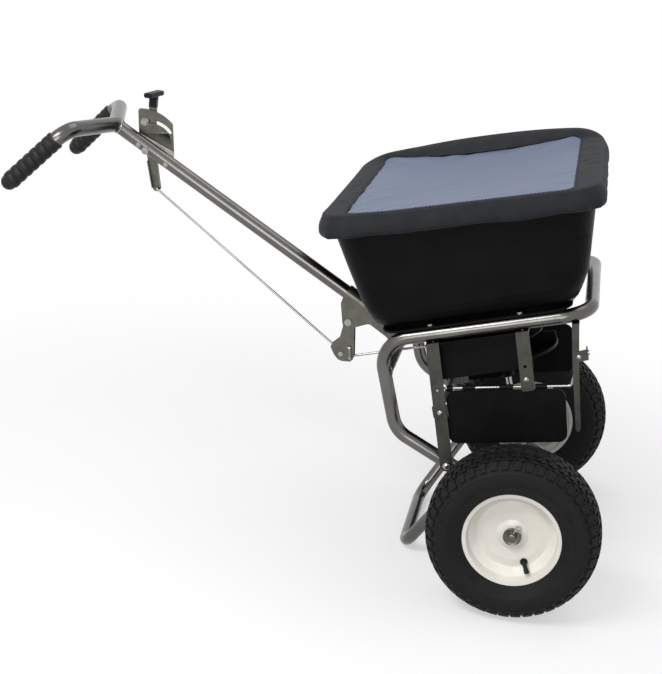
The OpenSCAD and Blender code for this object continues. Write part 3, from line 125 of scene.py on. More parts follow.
@dataclass
class MeshPile:
    """Collects points and faces of one piece."""

    points: list[Vector] = field(default_factory=list)
    faces: list[tuple[int, ...]] = field(default_factory=list)

    def add(self, points: list[Vector], faces: list[tuple[int, ...]]) -> None:
        """Appends a part whose faces count from its own first point."""
        base = len(self.points)
        self.points.extend(points)
        self.faces.extend(tuple(base + i for i in f) for f in faces)

    def loft(self, rings: list[list[Vector]], closed: bool = True, caps: bool = False) -> None:
        """Joins rings of equal length with quads.

        Args:
            rings: Point rings in metres, in order.
            closed: Whether each ring closes on itself.
            caps: Whether the first and last ring get a flat end.
        """
        n = len(rings[0])
        last = n if closed else n - 1
        faces: list[tuple[int, ...]] = []
        for i in range(len(rings) - 1):
            for j in range(last):
                k = (j + 1) % n
                faces.append((i * n + j, i * n + k, (i + 1) * n + k, (i + 1) * n + j))
        if caps:
            faces.append(tuple(reversed(range(n))))
            faces.append(tuple((len(rings) - 1) * n + j for j in range(n)))
        self.add([p for ring in rings for p in ring], faces)

    def revolve(self, profile: list[tuple[float, float]], origin: Vector, axis: Vector, steps: int) -> None:
        """Turns a profile of (radius, height) in mm about an axis.

        Args:
            profile: Points from the first end to the last; a radius of 0 closes the end.
            origin: Where height is 0, in metres.
            axis: The direction of height.
            steps: Points round the axis.
        """
        z = axis.normalized()
        x = z.orthogonal().normalized()
        y = z.cross(x)
        rings = []
        for radius, height in profile:
            r = max(radius, 0.01)
            rings.append([
                origin + (z * height + (x * math.cos(a) + y * math.sin(a)) * r) * MM
                for a in (math.tau * k / steps for k in range(steps))
            ])
        self.loft(rings, caps=True)

    def tube(self, path: list[Vector], radii: list[float], sides: int, loop: bool = False) -> None:
        """Sweeps a circle along a path without twisting it.

        Args:
            path: Centre points in metres.
            radii: One radius in mm for each point.
            sides: Points round the tube.
            loop: Whether the path closes on itself.
        """
        count = len(path)
        ways = []
        for i in range(count):
            a = path[i - 1] if i or loop else path[0]
            b = path[(i + 1) % count] if i < count - 1 or loop else path[-1]
            ways.append((b - a).normalized())
        normal = ways[0].orthogonal().normalized()
        rings = []
        for i, way in enumerate(ways):
            normal = (normal - way * normal.dot(way)).normalized()
            side = way.cross(normal)
            rings.append([
                path[i] + (normal * math.cos(a) + side * math.sin(a)) * radii[i] * MM
                for a in (math.tau * k / sides for k in range(sides))
            ])
        if loop:
            rings.append(rings[0])
        self.loft(rings, caps=not loop)

    def make(self, name: str, finish: "Finish", body: Body, smooth: float = 35.0) -> bpy.types.Object:
        """Makes the object, finishes it and lets it ride.

        Args:
            name: The piece's name.
            finish: Its finish.
            body: The CAD body that it moves with.
            smooth: Edges sharper than this many degrees stay sharp.

        Returns:
            The new object.
        """
        mesh = bpy.data.meshes.new(name)
        mesh.from_pydata([tuple(p) for p in self.points], [], self.faces)
        mesh.validate()
        obj = bpy.data.objects.new(name, mesh)
        bpy.context.scene.collection.objects.link(obj)
        soften(obj, smooth)
        mesh.materials.append(finish.material())
        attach(obj, body.value)
        LOG.info("%s: %d faces on %s", name, len(mesh.polygons), body.value)
        return obj


def soften(obj: bpy.types.Object, degrees: float) -> None:
    """Shades a mesh smooth, but keeps edges sharper than the given angle."""
    obj.data.shade_smooth()
    obj.data.set_sharp_from_angle(angle=math.radians(degrees))


def add_node(
    tree: bpy.types.NodeTree,
    kind: str,
    settings: dict[str, object] | None = None,
    links: dict[str, object] | None = None,
) -> bpy.types.Node:
    """Adds a shader node with its settings and links.

    Args:
        tree: The node tree.
        kind: The node's type name.
        settings: Attributes, or values of input sockets by their name.
        links: Output sockets to join to inputs, by the input's name or number.

    Returns:
        The new node.
    """
    node = tree.nodes.new(kind)
    for key, value in (settings or {}).items():
        if isinstance(key, str) and hasattr(node, key):
            setattr(node, key, value)
        else:
            node.inputs[key].default_value = value
    for key, socket in (links or {}).items():
        tree.links.new(socket, node.inputs[key])
    return node


@dataclass(frozen=True)
class Finish:
    """One surface: what it is made of and how that was made.

    The pattern is a pair of noises: a fine one for the bump, in mm, and a coarse one that
    shifts the colour between two tones.
    """

    name: str
    slot: str
    tone: str
    worn: str
    roughness: float
    spread: float = 0.08
    metallic: float = 0.0
    ior: float = 1.5
    grain: tuple[float, float, float] = (1.0, 1.0, 1.0)
    bump: float = 0.05
    patch: float = 40.0
    coat: float = 0.0
    sheen: float = 0.0
    specular: float = 0.5

    def material(self) -> bpy.types.Material:
        """Builds the material once and returns it."""
        found = bpy.data.materials.get(self.name)
        if found:
            return found
        made = bpy.data.materials.new(self.name)
        made.use_nodes = True
        tree = made.node_tree
        tree.nodes.clear()
        place = add_node(tree, "ShaderNodeTexCoord").outputs["Object"]
        height = self.relief(tree, place)
        patches = add_node(
            tree, "ShaderNodeTexNoise",
            {"Scale": 1 / (self.patch * MM), "Detail": 5.0, "Roughness": 0.6}, {"Vector": place},
        ).outputs["Fac"]
        colour = self.colour(tree, place, patches)
        rough = add_node(
            tree, "ShaderNodeMapRange",
            {"From Min": 0.3, "From Max": 0.7, "To Min": self.roughness - self.spread / 2,
             "To Max": self.roughness + self.spread / 2}, {"Value": patches},
        ).outputs["Result"]
        relief = add_node(
            tree, "ShaderNodeBump", {"Strength": 1.0, "Distance": self.bump * MM}, {"Height": height}
        ).outputs["Normal"]
        shader = add_node(
            tree, "ShaderNodeBsdfPrincipled",
            {"Metallic": self.metallic, "IOR": self.ior, "Coat Weight": self.coat, "Coat Roughness": 0.12,
             "Sheen Weight": self.sheen, "Sheen Roughness": 0.45, "Specular IOR Level": self.specular},
            {"Base Color": colour, "Roughness": rough, "Normal": relief},
        )
        add_node(tree, "ShaderNodeOutputMaterial", {}, {"Surface": shader.outputs["BSDF"]})
        return made

    def relief(self, tree: bpy.types.NodeTree, place: bpy.types.NodeSocket) -> bpy.types.NodeSocket:
        """Draws the surface's fine height.

        Args:
            tree: The node tree.
            place: Object coordinates.

        Returns:
            The height socket.
        """
        scaled = add_node(
            tree, "ShaderNodeMapping", {"Scale": tuple(1 / (g * MM) for g in self.grain)}, {"Vector": place}
        ).outputs["Vector"]
        return add_node(
            tree, "ShaderNodeTexNoise", {"Scale": 1.0, "Detail": 3.0, "Roughness": 0.55}, {"Vector": scaled}
        ).outputs["Fac"]

    def colour(
        self, tree: bpy.types.NodeTree, place: bpy.types.NodeSocket, patches: bpy.types.NodeSocket
    ) -> bpy.types.NodeSocket:
        """Shifts the colour between the tone and the worn tone.

        Args:
            tree: The node tree.
            place: Object coordinates; not used.
            patches: A coarse noise from 0 to 1.

        Returns:
            The colour socket.
        """
        ramp = add_node(tree, "ShaderNodeValToRGB", {}, {"Fac": patches})
        ramp.color_ramp.elements[0].position = 0.35
        ramp.color_ramp.elements[0].color = linear(self.tone)
        ramp.color_ramp.elements[1].position = 0.72
        ramp.color_ramp.elements[1].color = linear(self.worn)
        return ramp.outputs["Color"]


@dataclass(frozen=True)
class WovenFinish(Finish):
    """Plain-woven cloth: warp and weft threads pass over each other."""

    thread: float = 1.6

    def relief(self, tree: bpy.types.NodeTree, place: bpy.types.NodeSocket) -> bpy.types.NodeSocket:
        """Draws two crossed sets of threads, as coarse as the render can show."""
        wave = 1 / (self.thread * MM)
        threads = []
        for direction in ("X", "Y"):
            threads.append(add_node(
                tree, "ShaderNodeTexWave",
                {"bands_direction": direction, "Scale": wave / 20 * math.pi, "Distortion": 0.6, "Detail": 1.0,
                 "Detail Scale": 2.0}, {"Vector": place},
            ).outputs["Fac"])
        crossed = add_node(tree, "ShaderNodeMath", {"operation": "MAXIMUM"}, {0: threads[0], 1: threads[1]})
        fuzz = super().relief(tree, place)
        return add_node(
            tree, "ShaderNodeMath", {"operation": "MULTIPLY_ADD", 1: 0.5}, {0: fuzz, 2: crossed.outputs[0]}
        ).outputs[0]


STAINLESS_TUBE = Finish(
    # Drawn and satin-polished stainless: soft highlight with faint draw marks
    "stainless_steel_satin_drawn", "stainless_tube", "#6E6C69", "#5A5856", 0.23, 0.05, 1.0,
    grain=(60.0, 12.0, 60.0), bump=0.02, patch=110.0)
STAINLESS_PLATE = Finish(
    # Brushed strip: fine lines that spread the highlight
    "stainless_steel_brushed_strip", "stainless_plate", "#68675F", "#53524C", 0.34, 0.12, 1.0,
    grain=(1.0, 1.0, 18.0), bump=0.02, patch=26.0)
SHADED_STRIP = Finish(
    # Brushed strip under the hopper: the same strip with painted shade darkening its colour, rougher, with a broad
    # dull sheen
    "stainless_steel_strip_painted_shade", "stainless_plate", "#4A4A45", "#393835", 0.42, 0.12, 1.0,
    grain=(1.0, 1.0, 18.0), bump=0.02, patch=26.0)
FASTENER = Finish(
    # Cold-headed stainless: bright and slightly dimpled
    "stainless_steel_cold_headed", "bright_fastener", "#A9A7A2", "#85837F", 0.25, 0.10, 1.0,
    grain=(2.5, 2.5, 2.5), bump=0.02, patch=8.0)
ROD = Finish(
    # Centreless-ground rod: brighter than the tube
    "stainless_steel_ground_rod", "bright_rod", "#A5A29D", "#8B8985", 0.28, 0.04, 1.0,
    grain=(40.0, 40.0, 40.0), bump=0.01, patch=60.0)
POLYETHYLENE = Finish(
    # Rotationally moulded polyethylene: near black, with a soft broad sheen and fine orange peel
    "polyethylene_moulded_black", "black_poly", "#0A0A0A", "#111111", 0.42, 0.12,
    grain=(2.2, 2.2, 2.2), bump=0.05, patch=70.0, specular=0.06)
KNOB = Finish(
    # Injection-moulded knob with a smooth skin
    "abs_moulded_black", "knob_plastic", "#1B1D21", "#24262B", 0.38, 0.08,
    grain=(1.2, 1.2, 1.2), bump=0.02, patch=15.0, specular=0.1)
CLOTH = WovenFinish(
    # Coated polyester weave: dark navy, browner where dust lies in the threads
    "polyester_woven_coated", "cover_cloth", "#1F2228", "#2C2C2B", 0.80, 0.10,
    grain=(3.0, 3.0, 3.0), bump=0.35, patch=34.0, sheen=0.06, specular=0.15)
FILM = Finish(
    # Frosted vinyl film: bluish, with faint flow marks
    "vinyl_film_frosted", "cover_film", "#56627A", "#646E84", 0.46, 0.14,
    grain=(26.0, 9.0, 26.0), bump=0.5, patch=60.0, specular=0.3)
TYRE = Finish(
    # Vulcanised rubber: matte, with a bloom that greys it in patches
    "rubber_vulcanised_tyre", "tyre_rubber", "#121212", "#1C1C1C", 0.62, 0.16,
    grain=(1.4, 1.4, 1.4), bump=0.12, patch=22.0, specular=0.15)
VALVE = Finish(
    "rubber_moulded_valve", "valve_rubber", "#111111", "#191919", 0.50, 0.08,
    grain=(0.8, 0.8, 0.8), bump=0.03, patch=8.0, specular=0.2)
GRIP = Finish(
    # Soft moulded rubber: matte black ribs
    "rubber_moulded_grip", "grip_rubber", "#121213", "#1B1B1D", 0.50, 0.12,
    grain=(0.9, 0.9, 0.9), bump=0.06, patch=14.0, specular=0.25)
ENAMEL = Finish(
    # Sprayed enamel on pressed steel: cream, with light orange peel under a clear skin
    "enamel_sprayed_cream", "rim_paint", "#E6E2D9", "#DCD8CE", 0.33, 0.08,
    grain=(3.0, 3.0, 3.0), bump=0.04, patch=45.0, coat=0.25)
NYLON = Finish(
    "nylon_turned_natural", "nylon", "#DEDCD2", "#CFCCBF", 0.45, 0.08,
    grain=(0.8, 4.0, 0.8), bump=0.03, patch=12.0)
SINTERED = Finish(
    # Pressed and sintered steel, oiled: dark grey with pores
    "steel_sintered_oiled", "gear_steel", "#6B6A68", "#4C4B4A", 0.45, 0.14, 1.0,
    grain=(0.6, 0.6, 0.6), bump=0.06, patch=9.0)
CAST_ALLOY = Finish(
    # Die-cast alloy, as cast: dull grey with a fine grain
    "aluminium_die_cast", "gearcase_alloy", "#8E8E8D", "#767674", 0.55, 0.14, 1.0,
    grain=(0.9, 0.9, 0.9), bump=0.09, patch=18.0)
GREY_BLOCK = Finish(
    "acetal_moulded_grey", "grey_block", "#8D8C86", "#7A7973", 0.50, 0.10,
    grain=(1.5, 1.5, 1.5), bump=0.03, patch=14.0)
BLACK_OXIDE = Finish(
    "steel_black_oxide", "dark_clevis", "#2A2A2B", "#3A3A3A", 0.42, 0.12, 1.0,
    grain=(1.0, 1.0, 1.0), bump=0.03, patch=8.0)

CAD_FINISHES: dict[Finish, tuple[str, ...]] = {
    STAINLESS_TUBE: ("frame_hoop", "rear_cross_tube", "stand_tube", "handle_tube", "handlebar"),
    STAINLESS_PLATE: ("saddle_bracket", "gauge_plate", "lever", "swing_arm"),
    # Parts in the hopper's shade take the strip with painted shade
    SHADED_STRIP: ("rear_straps", "short_straps", "front_hanger", "axle_plates", "cross_stay", "rod_clips"),
    FASTENER: (
        "frame_bolts", "saddle_bolts", "gauge_bolts", "gearcase_screws", "arm_pins", "wheel_washers",
        "hairpins", "stop_knob"),
    ROD: ("deflector_rods", "upper_rod", "lower_rod", "impeller_shaft", "agitator", "axle", "shutter"),
    POLYETHYLENE: (
        "hopper", "floor_plate", "impeller_shroud", "impeller", "right_deflector", "left_deflector",
        "steady_arm"),
    KNOB: ("lever_knob",),
    VALVE: ("right_valve", "left_valve"),
    ENAMEL: ("right_rim", "left_rim"),
    NYLON: ("axle_bushes", "shaft_bushes", "wheel_bushes_right", "wheel_bushes_left"),
    SINTERED: ("drive_gear", "pinion"),
    CAST_ALLOY: ("gearcase_right", "gearcase_left"),
    GREY_BLOCK: ("steady_block",),
    BLACK_OXIDE: ("upper_clevis",),
    TYRE: ("right_tyre", "left_tyre"),
    GRIP: ("right_grip", "left_grip"),
    CLOTH: ("cover_fabric",),
    FILM: ("cover_window",),
}


def dress_cad() -> None:
    """Gives every CAD node its finish and smooth shading."""
    for finish, nodes in CAD_FINISHES.items():
        for name in nodes:
            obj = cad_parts[name]
            obj.data.materials.clear()
            obj.data.materials.append(finish.material())
            soften(obj, 32.0)
            LOG.info("%s: %s", name, finish.name)


@dataclass
class RainCover:
    """The fitted cover: a cloth border with a gathered, elastic skirt and a film window."""

    centre: tuple[float, float] = (-6.0, 0.0)
    half_x: float = 256.5
    half_y: float = 277.5
    corner: float = 60.0
    rim_z: float = 623.5
    fall: float = 0.033
    window_centre: tuple[float, float] = (-6.0, -7.0)
    window_half: tuple[float, float] = (208.0, 259.0)
    window_corner: float = 20.0
    skirt: float = 40.0
    crown: float = 30.0
    bow: float = 26.0
    around: int = 384
    edge_share: float = 0.2

    def outline(self, s: float, half: tuple[float, float], centre: tuple[float, float], corner: float) -> tuple[Vector, Vector]:
        """A point of a rounded rectangle and its outward direction.

        Args:
            s: Place round the outline, from 0 to 1, starting at the middle of the front edge.
            half: Half sizes in mm.
            centre: Centre in mm.
            corner: Corner radius in mm.

        Returns:
            The point and the outward unit direction, both flat.
        """
        quarter, t = divmod(s * 4, 1.0)
        quarter = int(quarter) % 4
        edge = self.edge_share * 2
        hx, hy = half[0] - corner, half[1] - corner
        start, end = (0.0, hy) if quarter % 2 == 0 else (0.0, hx)
        if t < edge:
            along, turn = start + (end - start) * t / edge, 0.0
        elif t > 1 - edge:
            other = hx if quarter % 2 == 0 else hy
            along, turn = other * (1 - t) / edge, 90.0
        else:
            along, turn = None, 90.0 * (t - edge) / (1 - 2 * edge)
        a = math.radians(turn)
        if along is None:
            local = (hx + corner * math.cos(a), hy + corner * math.sin(a)) if quarter % 2 == 0 else (
                hy + corner * math.cos(a), hx + corner * math.sin(a))
        elif turn == 0.0:
            local = (half[0] if quarter % 2 == 0 else half[1], along)
        else:
            local = (along, half[1] if quarter % 2 == 0 else half[0])
        way = (math.cos(a), math.sin(a))
        for _ in range(quarter):
            local = (-local[1], local[0])
            way = (-way[1], way[0])
        return Vector((local[0] + centre[0], local[1] + centre[1], 0.0)), Vector((way[0], way[1], 0.0))

    def top(self, x: float, y: float) -> float:
        """Height of the cover's top: the rim's plane, raised along the far edge and at the back."""
        far = ease(213.0, 285.0, y) * self.crown * (1 - (min(abs(x - 15.0), 290.0) / 300.0) ** 2.4)
        rear = 5.0 * ease(120.0, 250.0, -x)
        return self.rim_z - self.fall * x + far + rear

    def window(self, s: float, share: float = 1.0) -> tuple[Vector, Vector]:
        """A point of the window's edge, whose far side bows inward, and its outward direction.

        Args:
            s: Place round the window, from 0 to 1.
            share: How far out from the middle, from 0 to 1.

        Returns:
            The point and the outward unit direction, both flat.
        """
        edge, way = self.outline(s, self.window_half, (0.0, 0.0), self.window_corner)
        across = min(1.0, abs(edge.x - 12.0) / (self.window_half[0] + 6.0))
        edge.y -= self.bow * ease(150.0, 240.0, edge.y) * (1 - across ** 2)
        middle = Vector((self.window_centre[0], self.window_centre[1], 0.0))
        return middle + edge * share, way

    def gather(self, s: float) -> float:
        """Depth of the skirt's folds at a place round the hem, from 0 to 1."""
        ring = Vector((math.cos(s * math.tau), math.sin(s * math.tau), 0.0))
        broad = noise.noise(ring * 9.0) + 0.6 * noise.noise(ring * 21.0)
        fine = abs(noise.noise(ring * 44.0 + Vector((3.0, 0.0, 0.0))))
        near_corner = 1 - min(abs((s * 4 + 0.5) % 1.0 - 0.0), abs((s * 4 + 0.5) % 1.0 - 1.0)) * 2
        return max(0.0, 0.35 + 0.5 * broad + 0.9 * fine) * (0.75 + 0.9 * near_corner ** 3)

    def flare(self, point: Vector) -> tuple[float, float]:
        """How far the bunched rear corners stand out, in mm, at the fold and at the hem."""
        near = math.exp(-((point.x + 250) ** 2 + (point.y + 268) ** 2) / (2 * 52.0 ** 2))
        far = math.exp(-((point.x + 246) ** 2 + (point.y - 270) ** 2) / (2 * 60.0 ** 2))
        return 3.0 * near + 2.0 * far, 11.0 * near + 3.0 * far

    def column(self, s: float) -> list[Vector]:
        """One line of the cloth from the window's edge over the fold to the elastic hem.

        Args:
            s: Place round the cover, from 0 to 1.

        Returns:
            Points in the chassis frame, in mm.
        """
        inner, _ = self.window(s)
        outer, way = self.outline(s, (self.half_x, self.half_y), self.centre, self.corner)
        at_fold, at_hem = self.flare(outer)
        fold = self.gather(s)
        line = []
        for t in (0.0, 0.02, 0.07, 0.16, 0.3, 0.46, 0.62, 0.76, 0.87, 0.95):
            p = inner.lerp(outer - way * 5.0, t)
            ridge = 0.9 * math.exp(-((t - 0.05) / 0.05) ** 2)
            ripple = 2.2 * noise.noise(Vector((p.x, p.y, 4.0)) / 22.0) * math.sin(math.pi * t)
            loose = 0.8 + 2.4 * ease(-230.0, -120.0, p.y)
            puff = loose * (math.sin(math.pi * t) + 0.4 * ripple) + ridge
            p = p + way * at_fold * t * t
            line.append(Vector((p.x, p.y, self.top(p.x, p.y) + puff)))
        base = self.top(outer.x, outer.y)
        for angle in (12.0, 38.0, 64.0, 90.0):
            a = math.radians(angle)
            p = outer - way * 5.0 + way * (5.0 * math.sin(a) + at_fold)
            line.append(Vector((p.x, p.y, base - 5.0 * (1 - math.cos(a)))))
        drop = self.skirt + 4.0 * noise.noise(Vector((s * 23.0, 1.0, 0.0)))
        steps = 11
        for k in range(1, steps + 1):
            t = k / steps
            bulge = 3.4 * math.sin(math.pi * min(1.0, t * 1.08)) + fold * 6.0 * t ** 1.2
            tuck = 5.5 * ease(0.86, 1.0, t)
            stand = at_fold + (at_hem - at_fold) * math.sin(math.pi / 2 * t)
            p = outer + way * (bulge - tuck + stand)
            line.append(Vector((p.x, p.y, base - 5.0 - (drop - 5.0) * t)))
        return line

    def cloth(self) -> bpy.types.Object:
        """Builds the border and skirt as one thin cloth."""
        columns = [self.column(k / self.around) for k in range(self.around)]
        rings = [[from_chassis(*columns[k][i]) for k in range(self.around)] for i in range(len(columns[0]))]
        pile = MeshPile()
        pile.loft(rings)
        cloth = pile.make("cover_cloth", CLOTH, Body.COVER, 60.0)
        thick = cloth.modifiers.new("thickness", "SOLIDIFY")
        thick.thickness = 1.1 * MM
        thick.offset = -1.0
        finer = cloth.modifiers.new("finer", "SUBSURF")
        finer.levels = finer.render_levels = 1
        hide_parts("cover_fabric")
        return cloth

    def film_height(self, x: float, y: float, inward: float) -> float:
        """Height of the film over the rim's plane: a slight sag and fine wrinkles.

        Args:
            x: Chassis X in mm.
            y: Chassis Y in mm.
            inward: 0 at the window's edge and 1 at its middle.

        Returns:
            The rise in mm.
        """
        along = noise.noise(Vector((x / 120.0, y / 16.0, 0.0))) + 0.5 * noise.noise(Vector((x / 60.0, y / 8.0, 7.0)))
        cross = noise.noise(Vector(((x + y) / 130.0, (x - y) / 22.0, 2.0)))
        near_edge = math.exp(-inward * 5.0)
        return -7.0 * ease(0.0, 0.8, inward) + 1.5 * along * (0.5 + near_edge) + 2.3 * cross * (0.3 + near_edge)

    def film(self) -> bpy.types.Object:
        """Builds the window's film inside the border."""
        shares = [1.012, 0.99, 0.96, 0.92, 0.87, 0.82, 0.76, 0.7, 0.63, 0.56, 0.49, 0.42, 0.35, 0.28, 0.21, 0.14, 0.07]
        rings = []
        for share in shares:
            ring = []
            for k in range(self.around // 2):
                edge, _ = self.window(2 * k / self.around)
                p, _ = self.window(2 * k / self.around, share)
                rim = self.top(edge.x, edge.y)
                level = rim + (self.top(p.x, p.y) - rim) * ease(0.0, 0.5, 1 - share)
                ring.append(from_chassis(p.x, p.y, level - 0.8 + self.film_height(p.x, p.y, 1 - min(1.0, share))))
            rings.append(ring)
        pile = MeshPile()
        pile.loft(rings)
        last = len(pile.points) - len(rings[-1])
        cx, cy = self.window_centre
        middle = from_chassis(cx, cy, self.top(cx, cy) - 0.8 + self.film_height(cx, cy, 1.0))
        pile.points.append(middle)
        for k in range(len(rings[-1])):
            pile.faces.append((last + k, last + (k + 1) % len(rings[-1]), len(pile.points) - 1))
        film = pile.make("cover_film", FILM, Body.COVER, 60.0)
        thick = film.modifiers.new("thickness", "SOLIDIFY")
        thick.thickness = 0.6 * MM
        finer = film.modifiers.new("finer", "SUBSURF")
        finer.levels = finer.render_levels = 1
        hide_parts("cover_window")
        return film

    def stitches(self) -> bpy.types.Object:
        """Builds the row of thread stitches round the window."""
        pile = MeshPile()
        pitch = 0.0036
        count = int(1 / pitch)
        for k in range(count):
            ends = []
            for s in ((k + 0.18) / count, (k + 0.82) / count):
                inner, way = self.window(s)
                p = inner + way * 4.0
                ends.append(from_chassis(p.x, p.y, self.top(p.x, p.y) + 2.9))
            middle = (ends[0] + ends[1]) / 2 + Vector((0, 0, 0.35 * MM))
            pile.tube([ends[0], middle, ends[1]], [0.28, 0.42, 0.28], 5)
        return pile.make("cover_stitches", CLOTH, Body.COVER, 60.0)

    def build(self) -> None:
        """Builds the whole cover: the cloth, the film and the stitches."""
        cloth = self.cloth()
        film = self.film()
        thread = self.stitches()


@dataclass
class TurfTyre:
    """A turf tyre: smooth sides, a row of shoulder bars and arrow-shaped crown blocks."""

    outer_r: float = 165.0
    half_w: float = 62.0
    rim_r: float = 93.0
    middle_y: float = 316.5
    depth: float = 3.4
    power: float = 0.77
    pitches: int = 44
    steps: int = 176

    def __post_init__(self) -> None:
        """Works out the section's middle."""
        self.half_h = (self.outer_r - self.rim_r) / 2
        self.mid_r = self.outer_r - self.half_h

    def section(self, t: float, sink: float = 0.0) -> tuple[float, float]:
        """Radius and sideways place of the section.

        Args:
            t: Angle round the section in degrees, 0 at the crown and 90 at the side.
            sink: How far inside the outer skin, in mm.

        Returns:
            Radius and Y, in mm, from the wheel's centre.
        """
        a = math.radians(t)
        c, s = math.cos(a), math.sin(a)
        h, w = self.half_h - sink, self.half_w - sink
        r = self.mid_r + h * math.copysign(abs(c) ** self.power, c)
        return r, w * math.copysign(abs(s) ** self.power, s)

    def angle(self, y: float) -> float:
        """Section angle in degrees where the skin is y mm from the wheel's middle plane."""
        return math.degrees(math.asin(math.copysign((min(abs(y), 61.99) / self.half_w) ** (1 / self.power), y)))

    def place(self, side: Side, theta: float, r: float, y: float) -> Vector:
        """A point of the wheel in the row frame; theta in degrees about the axle."""
        a = math.radians(theta)
        return from_axle(r * math.cos(a), side.value * (self.middle_y + y), r * math.sin(a))

    def carcass(self, pile: MeshPile, side: Side) -> None:
        """Builds the hollow casing with its beads."""
        profile = []
        for t in range(-124, 125, 4):
            deep = self.depth * (1 - ease(66.0, 76.0, abs(t)))
            r, y = self.section(t, deep)
            if abs(t) > 100:
                r += 1.2 * math.exp(-((abs(t) - 106) / 2.5) ** 2)
            profile.append((r, y))
        profile += [(self.rim_r + 1.2, 47.0), (self.rim_r - 3.5, 42.0), (self.rim_r - 5.5, 32.0)]
        profile += [(self.rim_r + 6, 30.0), (self.rim_r + 6, -30.0)]
        profile += [(self.rim_r - 5.5, -32.0), (self.rim_r - 3.5, -42.0), (self.rim_r + 1.2, -47.0)]
        rings = []
        for k in range(self.steps):
            theta = 360.0 * k / self.steps
            rings.append([self.place(side, theta, r, y) for r, y in profile])
        rings.append(rings[0])
        pile.loft(rings, closed=True)

    def block(self, pile: MeshPile, side: Side, theta: float, outline: list[tuple[float, float]], lift: float = 0.0) -> None:
        """Raises one tread block.

        Args:
            pile: Where the block goes.
            side: The wheel's side.
            theta: Place round the tyre in degrees.
            outline: Corners as (mm round the tyre, mm sideways), in order.
            lift: Extra height over the skin, in mm.
        """
        centre_a = sum(p[0] for p in outline) / len(outline)
        centre_y = sum(p[1] for p in outline) / len(outline)
        rings = []
        for sink, spread in ((self.depth + 0.8, 1.1), (0.9 - lift, 1.0), (0.2 - lift, 0.95), (-lift, 0.82)):
            ring = []
            for a, y in outline:
                aa = centre_a + (a - centre_a) * spread
                yy = centre_y + (y - centre_y) * spread
                r, _ = self.section(self.angle(yy), 0.0)
                t = self.angle(yy)
                r, y_at = self.section(t, sink)
                ring.append(self.place(side, theta + math.degrees(aa / self.outer_r), r, y_at))
            rings.append(ring)
        if side is Side.LEFT:
            rings = [list(reversed(ring)) for ring in rings]
        pile.loft(rings)
        base = len(pile.points)
        pile.add(rings[-1], [tuple(range(len(outline)))])
        del base

    def tread(self, pile: MeshPile, side: Side) -> None:
        """Sets the crown blocks and the shoulder bars round the tyre."""
        pitch = math.tau * self.outer_r / self.pitches
        arrow = [(-8.2, -3.4), (-1.0, -0.6), (6.8, -4.0), (9.2, -12.0), (3.2, -15.6), (1.6, -10.4), (-2.6, -10.8), (-4.4, -16.4), (-9.4, -13.0)]
        hook = [(-9.0, 0.2), (-2.8, -1.6), (0.8, 2.8), (5.6, 0.4), (9.0, 4.2), (6.6, 12.6), (0.6, 9.0), (-3.0, 14.6), (-9.4, 11.2)]
        bar = [(-7.4, 43.2), (-2.6, 42.0), (6.6, 43.0), (7.6, 50.0), (7.0, 57.4), (-6.2, 57.4), (-7.6, 50.0)]
        shoulder = [(-8.8, 34.6), (-1.0, 36.8), (7.4, 34.0), (9.0, 38.6), (2.4, 41.0), (-7.0, 40.4)]
        for k in range(self.pitches):
            theta = 360.0 * k / self.pitches
            half = 180.0 / self.pitches
            for flip in (1, -1):
                shift = half if flip < 0 else 0.0
                for outline, offset in ((arrow, 0.0), (hook, 0.5), (shoulder, 0.0), (bar, 0.25)):
                    lifted = [(a, y + (18.6 if outline is hook else 0.0)) for a, y in outline]
                    if outline is arrow:
                        lifted = [(a, -y) for a, y in outline][::-1]
                    placed = [(a, y * flip) for a, y in lifted]
                    if flip < 0:
                        placed.reverse()
                    self.block(pile, side, theta + shift + offset * 2 * half, placed)
        del pitch

    def rings(self, pile: MeshPile, side: Side) -> None:
        """Adds the moulded lines on the sidewall."""
        for t, size in ((79.0, 0.9), (97.0, 0.6), (103.5, 0.8)):
            for flip in (1, -1):
                path = []
                for k in range(self.steps):
                    r, y = self.section(t * flip, 0.25)
                    path.append(self.place(side, 360.0 * k / self.steps, r, y))
                pile.tube(path, [size] * self.steps, 6, loop=True)

    def build(self, side: Side) -> None:
        """Builds one whole tyre over its CAD solid."""
        pile = MeshPile()
        self.carcass(pile, side)
        self.tread(pile, side)
        self.rings(pile, side)
        name, body = ("right", Body.DRIVE_AXLE) if side is Side.RIGHT else ("left", Body.FREE_WHEEL)
        tyre = pile.make(f"{name}_turf_tyre", TYRE, body, 40.0)
        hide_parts(f"{name}_tyre")


@dataclass
class RibbedGrip:
    """A soft grip with rounded ribs and a domed end."""

    end: Vector = field(default_factory=lambda: Vector((-1054.6, 190.0, 523.4)))
    knee: Vector = field(default_factory=lambda: Vector((-949.7, 165.0, 632.0)))
    root_r: float = 16.4
    rib: float = 2.3
    length: float = 126.0
    ribs: int = 7

    def build(self, side: Side) -> None:
        """Builds one grip over its CAD solid."""
        end = Vector((self.end.x, self.end.y * side.value, self.end.z))
        knee = Vector((self.knee.x, self.knee.y * side.value, self.knee.z))
        profile = [(self.root_r * math.cos(math.radians(a)), self.root_r * math.sin(math.radians(a)))
                   for a in range(-90, -19, 10)]
        pitch = (self.length - 8.0) / self.ribs
        for k in range(self.ribs):
            for j in range(12):
                t = j / 12
                swell = math.sin(math.pi * t) ** 0.55
                profile.append((self.root_r - 0.3 + self.rib * swell, (k + t) * pitch))
        top = self.ribs * pitch
        profile += [(self.root_r + 1.9, top + 1.5), (self.root_r + 2.2, top + 4.5), (self.root_r + 1.2, top + 7.6), (15.6, top + 8.0)]
        pile = MeshPile()
        pile.revolve(profile, from_axle(*end), knee - end, 48)
        name = "right" if side is Side.RIGHT else "left"
        grip = pile.make(f"{name}_ribbed_grip", GRIP, Body.CHASSIS, 50.0)
        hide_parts(f"{name}_grip")


